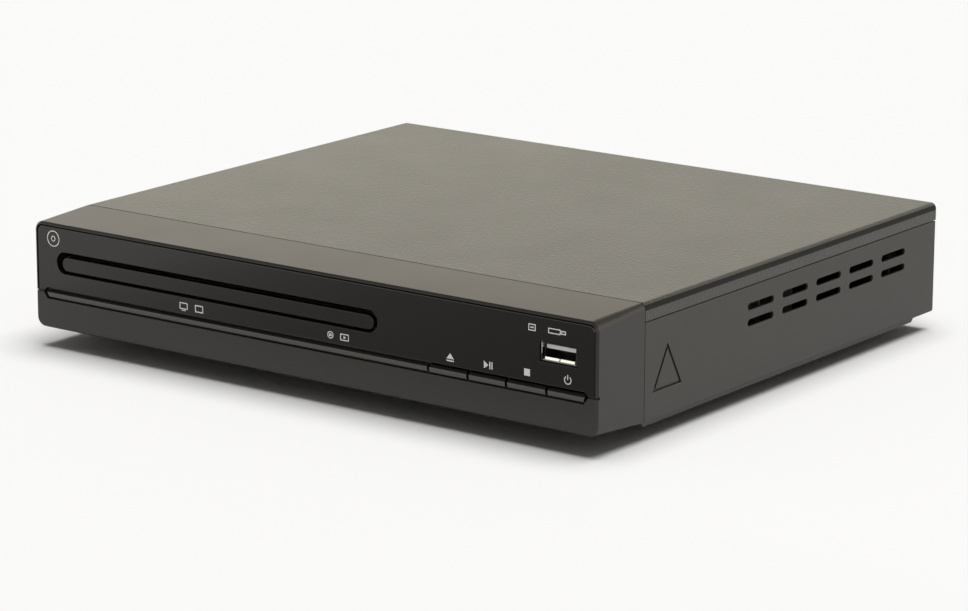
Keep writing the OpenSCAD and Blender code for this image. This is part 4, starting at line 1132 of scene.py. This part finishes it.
@dataclass
class UsbSocket:
    """What lies inside the USB socket: its contacts, its springs, and painted shade: a black rim and dark
    sheets.

    Sizes are in millimetres.

    Attributes:
        wall: The wall of the socket's shell.
        contact_count: How many contacts lie under the tongue.
        contact_pitch: From one contact to the next.
        contact_size: A contact's width and thickness.
        contact_start: How far the contacts stay behind the tongue's front.
        reach: The share of the depth that contacts and the painted shade sheets run along.
        spring_width: A spring's width.
        spring_offset: From the socket's middle to the middle of a spring.
        spring_lift: The gap under the springs.
        spring_shape: A spring's side view, each point's depth and height.
        shade_rim_size: The thickness of the painted shade rim, and how far the rim stands in front.
        shade_rim_step: How far up the rim's left end starts to be open.
        shade_rim_sill: The height of the rim's lower edge.
        shade_sheet: The thickness of the painted shade sheets, and how far inside the mouth they start.
    """

    wall: float = 0.4
    contact_count: int = 4
    contact_pitch: float = 2.3
    contact_size: Flat = (1.0, 0.12)
    contact_start: float = 0.8
    reach: float = 0.75
    spring_width: float = 5.2
    spring_offset: float = 2.8
    spring_lift: float = 0.02
    spring_shape: tuple[Flat, ...] = ((0.2, 0.0), (0.42, 0.75), (0.7, 0.78), (1.3, 0.1), (1.3, 0.0))
    shade_rim_size: Flat = (0.2, 0.22)
    shade_rim_step: float = 2.1
    shade_rim_sill: float = 0.12
    shade_sheet: Flat = (0.08, 1.4)

    def contacts(self) -> Piece:
        """Make the gold contacts under the tongue.

        Returns:
            The contacts, as one piece.
        """
        low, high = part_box("usb_tongue")
        width, thick = (v * MM for v in self.contact_size)
        half, pitch = width / 2, self.contact_pitch * MM
        corners = [Vector((x, 0, z)) for x, z in ((-half, 0), (half, 0), (half, thick), (-half, thick))]
        build, seed = bmesh.new(), bmesh.new()
        prism(seed, corners, Vector((0, (high.y - low.y) * self.reach, 0)))
        left = (low.x + high.x) / 2 - (self.contact_count - 1) / 2 * pitch
        start = Vector((left, low.y + self.contact_start * MM, low.z - thick))
        RowOfCopies.add(build, seed, GOLD, (self.contact_count, start, Vector((pitch, 0, 0))))
        return piece_from("usb_contacts", build, GOLD)

    def springs(self) -> Piece:
        """Make the two springs that stand on the socket's floor.

        Returns:
            The springs, as one piece.
        """
        low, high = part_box("usb_socket")
        build = bmesh.new()
        floor = low.z + (self.wall + self.spring_lift) * MM
        width = self.spring_width * MM
        for side in (-1, 1):
            left = (low.x + high.x - width) / 2 + side * self.spring_offset * MM
            outline = [Vector((left, low.y + y * MM, floor + z * MM)) for y, z in self.spring_shape]
            prism(build, outline, Vector((width, 0, 0)))
        return piece_from("usb_springs", build, BRIGHT)

    def shade_rim(self) -> Piece:
        """Make the painted shade at the socket: a black rim over its mouth, open at the left, and dark
        sheets inside.

        Returns:
            The rim and the sheets, as one piece.
        """
        low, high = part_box("usb_socket")
        wall = self.wall * MM
        left, right, bottom, top = low.x + wall, high.x, low.z, high.z
        step = bottom + self.shade_rim_step * MM
        sill = bottom + self.shade_rim_sill * MM
        thick, stand = (v * MM for v in self.shade_rim_size)
        corners = (
            *((low.x, bottom), (right, bottom), (right, top), (left, top), (left, top - wall)),
            *((right - wall, top - wall), (right - wall, sill), (left, sill), (left, step), (low.x, step)),
        )
        build = bmesh.new()
        # Painted shade: the black rim stands for the dark edges of the socket's mouth.
        prism(build, [Vector((x, low.y - stand, z)) for x, z in corners], Vector((0, thick, 0)))
        self.line(build, low, high)
        return piece_from("usb_shade_rim", build, BLACK)

    def line(self, build: Mesh, low: Vector, high: Vector) -> None:
        """Add the painted shade inside the socket: dark sheets on its floor, roof and sides.

        Args:
            build: The mesh to add to.
            low: The lower corner of the socket's box.
            high: Its upper corner.
        """
        wall = self.wall * MM
        thin, start = (v * MM for v in self.shade_sheet)
        x0, x1, z0, z1 = low.x + wall, high.x - wall, low.z + wall, high.z - wall
        depth = Vector((0, self.reach * (high.y - low.y), 0))
        y = low.y + start
        # Painted shade: dark sheets stand for the shade inside the socket.
        sheets = (
            *((x0, z0, x1, z0 + thin), (x0, z1 - thin, x1, z1)),
            *((x0, z0, x0 + thin, z1), (x1 - thin, z0, x1, z1)),
        )
        for a, b, c, d in sheets:
            prism(build, [Vector((x, y, z)) for x, z in ((a, b), (c, b), (c, d), (a, d))], depth)


@dataclass
class CoverJoints:
    """The dark strips at the cover's edges, in millimetres: painted shade in the front joint and under the
    round side edges.

    Attributes:
        gap_shade_place: How far the painted gap shade lies behind the cover's front and, at its foot, under
            its top.
        gap_shade_size: Its depth and height.
        gap_shade_inset: How far it stays inside the cover's sides.
        edge_radius: The radius of the cover's round side edges.
        shade_proud: How far the painted edge shades stand out of them.
        shade_turn: How far round the edge they reach, in degrees.
        shade_steps: How many parts their curve has.
        shade_foot: How far their foot reaches in and down.
        shade_sunk: How far they reach into the cover.
        shade_ends: How far their front and rear ends stay inside the cover's.
        side_gap: How far they stay inside the cover's width.
    """

    gap_shade_place: Flat = (0.03, 0.48)
    gap_shade_size: Flat = (0.44, 0.45)
    gap_shade_inset: float = 2.2
    edge_radius: float = 2.0
    shade_proud: float = 0.015
    shade_turn: float = 40.0
    shade_steps: int = 12
    shade_foot: Flat = (0.25, 0.33)
    shade_sunk: float = 0.05
    shade_ends: Flat = (0.22, 0.1)
    side_gap: float = 0.003

    def gap_shade(self) -> Piece:
        """Make the painted shade in the joint between the cover and the front moulding: a near-black strip.

        Returns:
            The strip.
        """
        low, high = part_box("top_cover")
        y, z = low.y + self.gap_shade_place[0] * MM, high.z - self.gap_shade_place[1] * MM
        deep, tall = (v * MM for v in self.gap_shade_size)
        side = self.gap_shade_inset * MM
        corners = ((y, z), (y + deep, z), (y + deep, z + tall), (y, z + tall))
        build = bmesh.new()
        along = Vector((high.x - low.x - 2 * side, 0, 0))
        prism(build, [Vector((low.x + side, a, b)) for a, b in corners], along)
        # Painted shade: this near-black strip darkens the joint, where the shade of the gap falls.
        return piece_from("joint_gap_shade", build, GAP_SHADE)

    def edge_shades(self) -> Piece:
        """Make the painted shade under the cover's round edges: a dark skin on each side.

        Returns:
            The painted edge shades, as one piece.
        """
        low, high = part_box("top_cover")
        radius, limit = self.edge_radius * MM, high.x - self.side_gap * MM
        depth, drop = (v * MM for v in self.shade_foot)
        front, rear = (v * MM for v in self.shade_ends)
        centre = (high.x - radius, high.z - radius)
        outer = arc(centre, radius + self.shade_proud * MM, 0.0, self.shade_turn, self.shade_steps)
        inner = arc(centre, radius - self.shade_sunk * MM, self.shade_turn, 0.0, self.shade_steps)
        foot = high.z - radius - drop
        outline = [(limit, foot), *((min(x, limit), z) for x, z in outer), *inner, (high.x - depth, foot)]
        build = bmesh.new()
        along = Vector((0, high.y - low.y - front - rear, 0))
        for side in (-1, 1):
            prism(build, [Vector((side * x, low.y + front, z)) for x, z in outline], along)
        # Painted shade: a near-black skin over the lower part of each round side edge stands in for the
        # shade there.
        return piece_from("cover_edge_shades", build, EDGE_SHADE)


@dataclass
class RearScrews:
    """The domed screw heads with a cross recess that hold the rear sheet.

    Attributes:
        bench: Turns places on the player into places in the frame.
        radius: A head's radius in millimetres.
        rows: How many screws each row has, its first one's place from the middle and above
            the case's bottom, and the way from one to the next, in millimetres.
        profile: Points of a head's side view, as shares of its radius.
        steps: How many parts a head has around.
        dome: How high the head is, against its profile.
        recess_reach: Where the recess starts, as a share of the radius.
        recess_pinch: How far the recess's walls come in between its arms.
    """

    bench: Bench
    radius: float = 2.5
    rows: tuple[tuple[int, Flat, Flat], ...] = (
        (2, (-54.0, 24.0), (52.0, 0.0)),
        (2, (66.0, 24.5), (-146.0, -15.5)),
    )
    profile: tuple[Flat, ...] = (
        *((1.0, 0.0), (1.0, 0.25), (0.86, 0.55)),
        *((0.6, 0.75), (0.34, 0.82), (0.34, 0.3)),
    )
    steps: int = 24
    dome: float = 0.55
    recess_reach: float = 0.4
    recess_pinch: float = 0.45

    def share(self, reach: float, part: int) -> float:
        """Return how much of its reach a point has: less between the arms of the recess."""
        between_arms = part % (self.steps // 4) == self.steps // 8
        return self.recess_pinch if reach < self.recess_reach and between_arms else 1.0

    def head(self) -> Mesh:
        """Make one screw head around the origin, its foot in the plane of the sheet.

        Returns:
            The head's mesh.
        """
        build = bmesh.new()
        radius = self.radius * MM
        rings = []
        for reach, height in self.profile:
            rise = Vector((0, height * radius * self.dome, 0))
            ring = []
            for part in range(self.steps):
                angle = math.tau * part / self.steps
                ray = Vector((math.cos(angle), 0, math.sin(angle)))
                spot = ray * radius * reach * self.share(reach, part)
                ring.append(build.verts.new(spot + rise))
            rings.append(ring)
        for first, second in zip(rings, rings[1:]):
            for i in range(self.steps):
                j = (i + 1) % self.steps
                build.faces.new((first[i], first[j], second[j], second[i]))
        build.faces.new(rings[0])
        build.faces.new(rings[-1])
        return build

    def make(self) -> Piece:
        """Make all the heads.

        Returns:
            The heads, as one piece.
        """
        build = bmesh.new()
        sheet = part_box("rear_panel")[1].y
        for count, (x, z), (across, up) in self.rows:
            start = Vector((x * MM, sheet, self.bench.at(0, 0, z).z))
            step = Vector((across * MM, 0, up * MM))
            RowOfCopies.add(build, self.head(), ZINC, (count, start, step))
        piece = piece_from("rear_screws", build, ZINC)
        soften(piece, 0.0)
        return piece


# ---------------------------------------------------------------- studio


@dataclass
class PhotoCamera:
    """The camera at the photograph's place and angle.

    Attributes:
        spot: Its place in the frame, in millimetres.
        yaw: Turn about Z from +Y towards -X, in degrees.
        pitch: Tilt below the horizon, in degrees.
        roll: Roll about the line of sight, in degrees.
        focal_px: The focal length in pixels of the photograph.
        sensor: The sensor's width in millimetres.
        clip: The nearest and the farthest that it sees, in metres.
    """

    spot: Point = (732.367, -997.627, 321.798)
    yaw: float = 36.47
    pitch: float = 14.14
    roll: float = 0.154
    focal_px: float = 3826.8
    sensor: float = 36.0
    clip: Flat = (0.05, 20.0)

    def make(self) -> Piece:
        """Create the camera and make it the scene's.

        Returns:
            The camera.
        """
        yaw, pitch, roll = (math.radians(v) for v in (self.yaw, self.pitch, self.roll))
        level = math.cos(pitch)
        forward = Vector((-math.sin(yaw) * level, math.cos(yaw) * level, -math.sin(pitch)))
        right = forward.cross(Vector((0, 0, 1))).normalized()
        up = right.cross(forward)
        right, up = (
            math.cos(roll) * right + math.sin(roll) * up,
            -math.sin(roll) * right + math.cos(roll) * up,
        )
        data = bpy.data.cameras.new("photo_camera")
        data.sensor_width = self.sensor
        data.lens = self.focal_px * self.sensor / PHOTO_WIDTH
        data.clip_start, data.clip_end = self.clip
        camera = add_object("photo_camera", data)
        turn = Matrix((right, up, -forward)).transposed().to_4x4()
        camera.matrix_world = Matrix.Translation(Vector(self.spot) * MM) @ turn
        bpy.context.scene.camera = camera
        return camera


@dataclass
class Studio:
    """A pale floor, a white surround that is darker overhead, and soft light from above.

    Attributes:
        floor_size: The floor's side in metres.
        floor_colour: Its linear colour.
        surround: The strength of the light that comes from all sides.
        tint: That light's colour.
        backdrop: The backdrop's colour where the camera sees it.
        mirrored: The surround's colour in reflections, near the horizon.
        overhead: How much of it is left in reflections of what is overhead.
        fade: Between which heights it falls to that, in degrees.
        light: The strength of the light from above.
        spread: How wide that light is, in degrees.
        lean: How far it leans from the vertical to the left and to the rear, in degrees.
        card: The corners of a card in front, seen only in reflections, in metres.
        card_height: How high it lies, in metres.
    """

    floor_size: float = 14.0
    floor_colour: Colour = (0.93, 0.925, 0.915)
    surround: float = 0.15
    tint: Colour = (0.985, 1.0, 0.985)
    backdrop: Colour = (0.93, 0.955, 0.93)
    mirrored: Colour = (1.5, 1.42, 1.22)
    overhead: float = 0.05
    fade: Flat = (24.0, 36.0)
    light: float = 2.85
    spread: float = 48.0
    lean: Flat = (-5.0, 3.0)
    card: tuple[float, float, float, float] = (-0.35, -0.50, 0.35, -0.138)
    card_height: float = 0.001

    def floor(self) -> Piece:
        """Make the floor.

        Returns:
            The floor.
        """
        half = self.floor_size / 2
        corners = ((-half, -half), (half, -half), (half, half), (-half, half))
        floor = self.sheet("studio_floor", corners, 0.0)
        paper = Finish("floor_paper", self.floor_colour, 0.85, patch=0.02, dust=0.0, specular=0.2)
        floor.data.materials.append(paper.material())
        return floor

    def world(self) -> bpy.types.World:
        """Make the surround: even light, and white where it is seen or reflected.

        Returns:
            The world.
        """
        world = bpy.data.worlds.new("studio")
        world.use_nodes = True
        tree = world.node_tree
        light = tree.nodes["Background"]
        light.inputs["Color"].default_value = (*self.tint, 1.0)
        light.inputs["Strength"].default_value = self.surround
        seen = tree.nodes.new("ShaderNodeBackground")
        seen.inputs["Color"].default_value = (*self.backdrop, 1.0)
        path = tree.nodes.new("ShaderNodeLightPath")
        result = self.either(tree, path.outputs["Is Camera Ray"], light, seen)
        rays = path.outputs["Is Glossy Ray"], path.outputs["Is Transmission Ray"]
        shiny = maths(tree, "ADD", *rays, clamp=True)
        result = self.either(tree, shiny, result, self.reflections(tree))
        link(tree, result.outputs[0], tree.nodes["World Output"].inputs["Surface"])
        bpy.context.scene.world = world
        return world

    @staticmethod
    def either(tree: Tree, share: Socket, first: Node, second: Node) -> Node:
        """Mix two shader nodes.

        Args:
            tree: The world's tree.
            share: The second one's share.
            first: One shader node.
            second: The other shader node.

        Returns:
            The mix's node.
        """
        mix = tree.nodes.new("ShaderNodeMixShader")
        link(tree, share, mix.inputs[0])
        link(tree, first.outputs[0], mix.inputs[1])
        link(tree, second.outputs[0], mix.inputs[2])
        return mix

    def reflections(self, tree: Tree) -> Node:
        """Make the surround that is seen in reflections: bright low down and dark overhead.

        Args:
            tree: The world's tree.

        Returns:
            The background's node.
        """
        direction = axes(tree, tree.nodes.new("ShaderNodeTexCoord").outputs["Generated"])
        fade = tree.nodes.new("ShaderNodeMapRange")
        fade.interpolation_type = "SMOOTHSTEP"
        start, end = (math.sin(math.radians(v)) for v in self.fade)
        levels = {"From Min": start, "From Max": end, "To Min": 1.0, "To Max": self.overhead}
        for name, value in levels.items():
            fade.inputs[name].default_value = value
        link(tree, direction.outputs["Z"], fade.inputs["Value"])
        shown = tree.nodes.new("ShaderNodeBackground")
        brightest = max(self.mirrored)
        shown.inputs["Color"].default_value = (*(c / brightest for c in self.mirrored), 1.0)
        link(tree, maths(tree, "MULTIPLY", fade.outputs[0], brightest), shown.inputs["Strength"])
        return shown

    def lamp(self) -> Piece:
        """Make the wide soft light from above.

        Returns:
            The lamp.
        """
        data = bpy.data.lights.new("overhead", "SUN")
        data.energy = self.light
        data.angle = math.radians(self.spread)
        lamp = add_object("overhead", data)
        left, rear = (math.tan(math.radians(v)) for v in self.lean)
        lamp.rotation_mode = "QUATERNION"
        lamp.rotation_quaternion = Vector((left, -rear, -1)).to_track_quat("-Z", "Y")
        lamp.visible_glossy = False
        return lamp

    def shaded_card(self) -> Piece:
        """Make the card that darkens what the front reflects.

        Returns:
            The card.
        """
        x0, y0, x1, y1 = self.card
        card = self.sheet("studio_card", ((x0, y0), (x1, y0), (x1, y1), (x0, y1)), self.card_height)
        paper = FadingPaper("card_paper", self.floor_colour, 0.9, dust=0.0, specular=0.0)
        card.data.materials.append(paper.material())
        card.visible_camera = False
        card.visible_diffuse = False
        card.visible_shadow = False
        return card

    @staticmethod
    def sheet(name: str, corners: Iterable[Flat], height: float) -> Piece:
        """Make a flat sheet that isn't part of the object.

        Args:
            name: Its name.
            corners: Its corners in X and Y, in metres.
            height: Its height in metres.

        Returns:
            The sheet.
        """
        build = bmesh.new()
        build.faces.new([build.verts.new((x, y, height)) for x, y in corners])
        sheet = add_mesh(name, build)
        return sheet

    def make(self) -> None:
        """Build the whole studio."""
        self.floor()
        self.shaded_card()
        self.world()
        self.lamp()
        bpy.context.scene.view_settings.view_transform = "Standard"


# ---------------------------------------------------------------- main


def main() -> None:
    """Load the frame, dress it and build the studio round it."""
    logging.basicConfig(level=logging.INFO, format="%(message)s")
    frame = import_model()
    bench = Bench()
    PhotoCamera().make()
    Casework().dress(frame["nodes"])
    socket, joints = UsbSocket(), CoverJoints()
    for make in (
        FrontPrints(bench).make,
        socket.contacts,
        socket.springs,
        socket.shade_rim,
        joints.gap_shade,
        joints.edge_shades,
        RearScrews(bench).make,
    ):
        log.info("made %s", make().name)
    Studio().make()


if __name__ == "__main__":
    main()
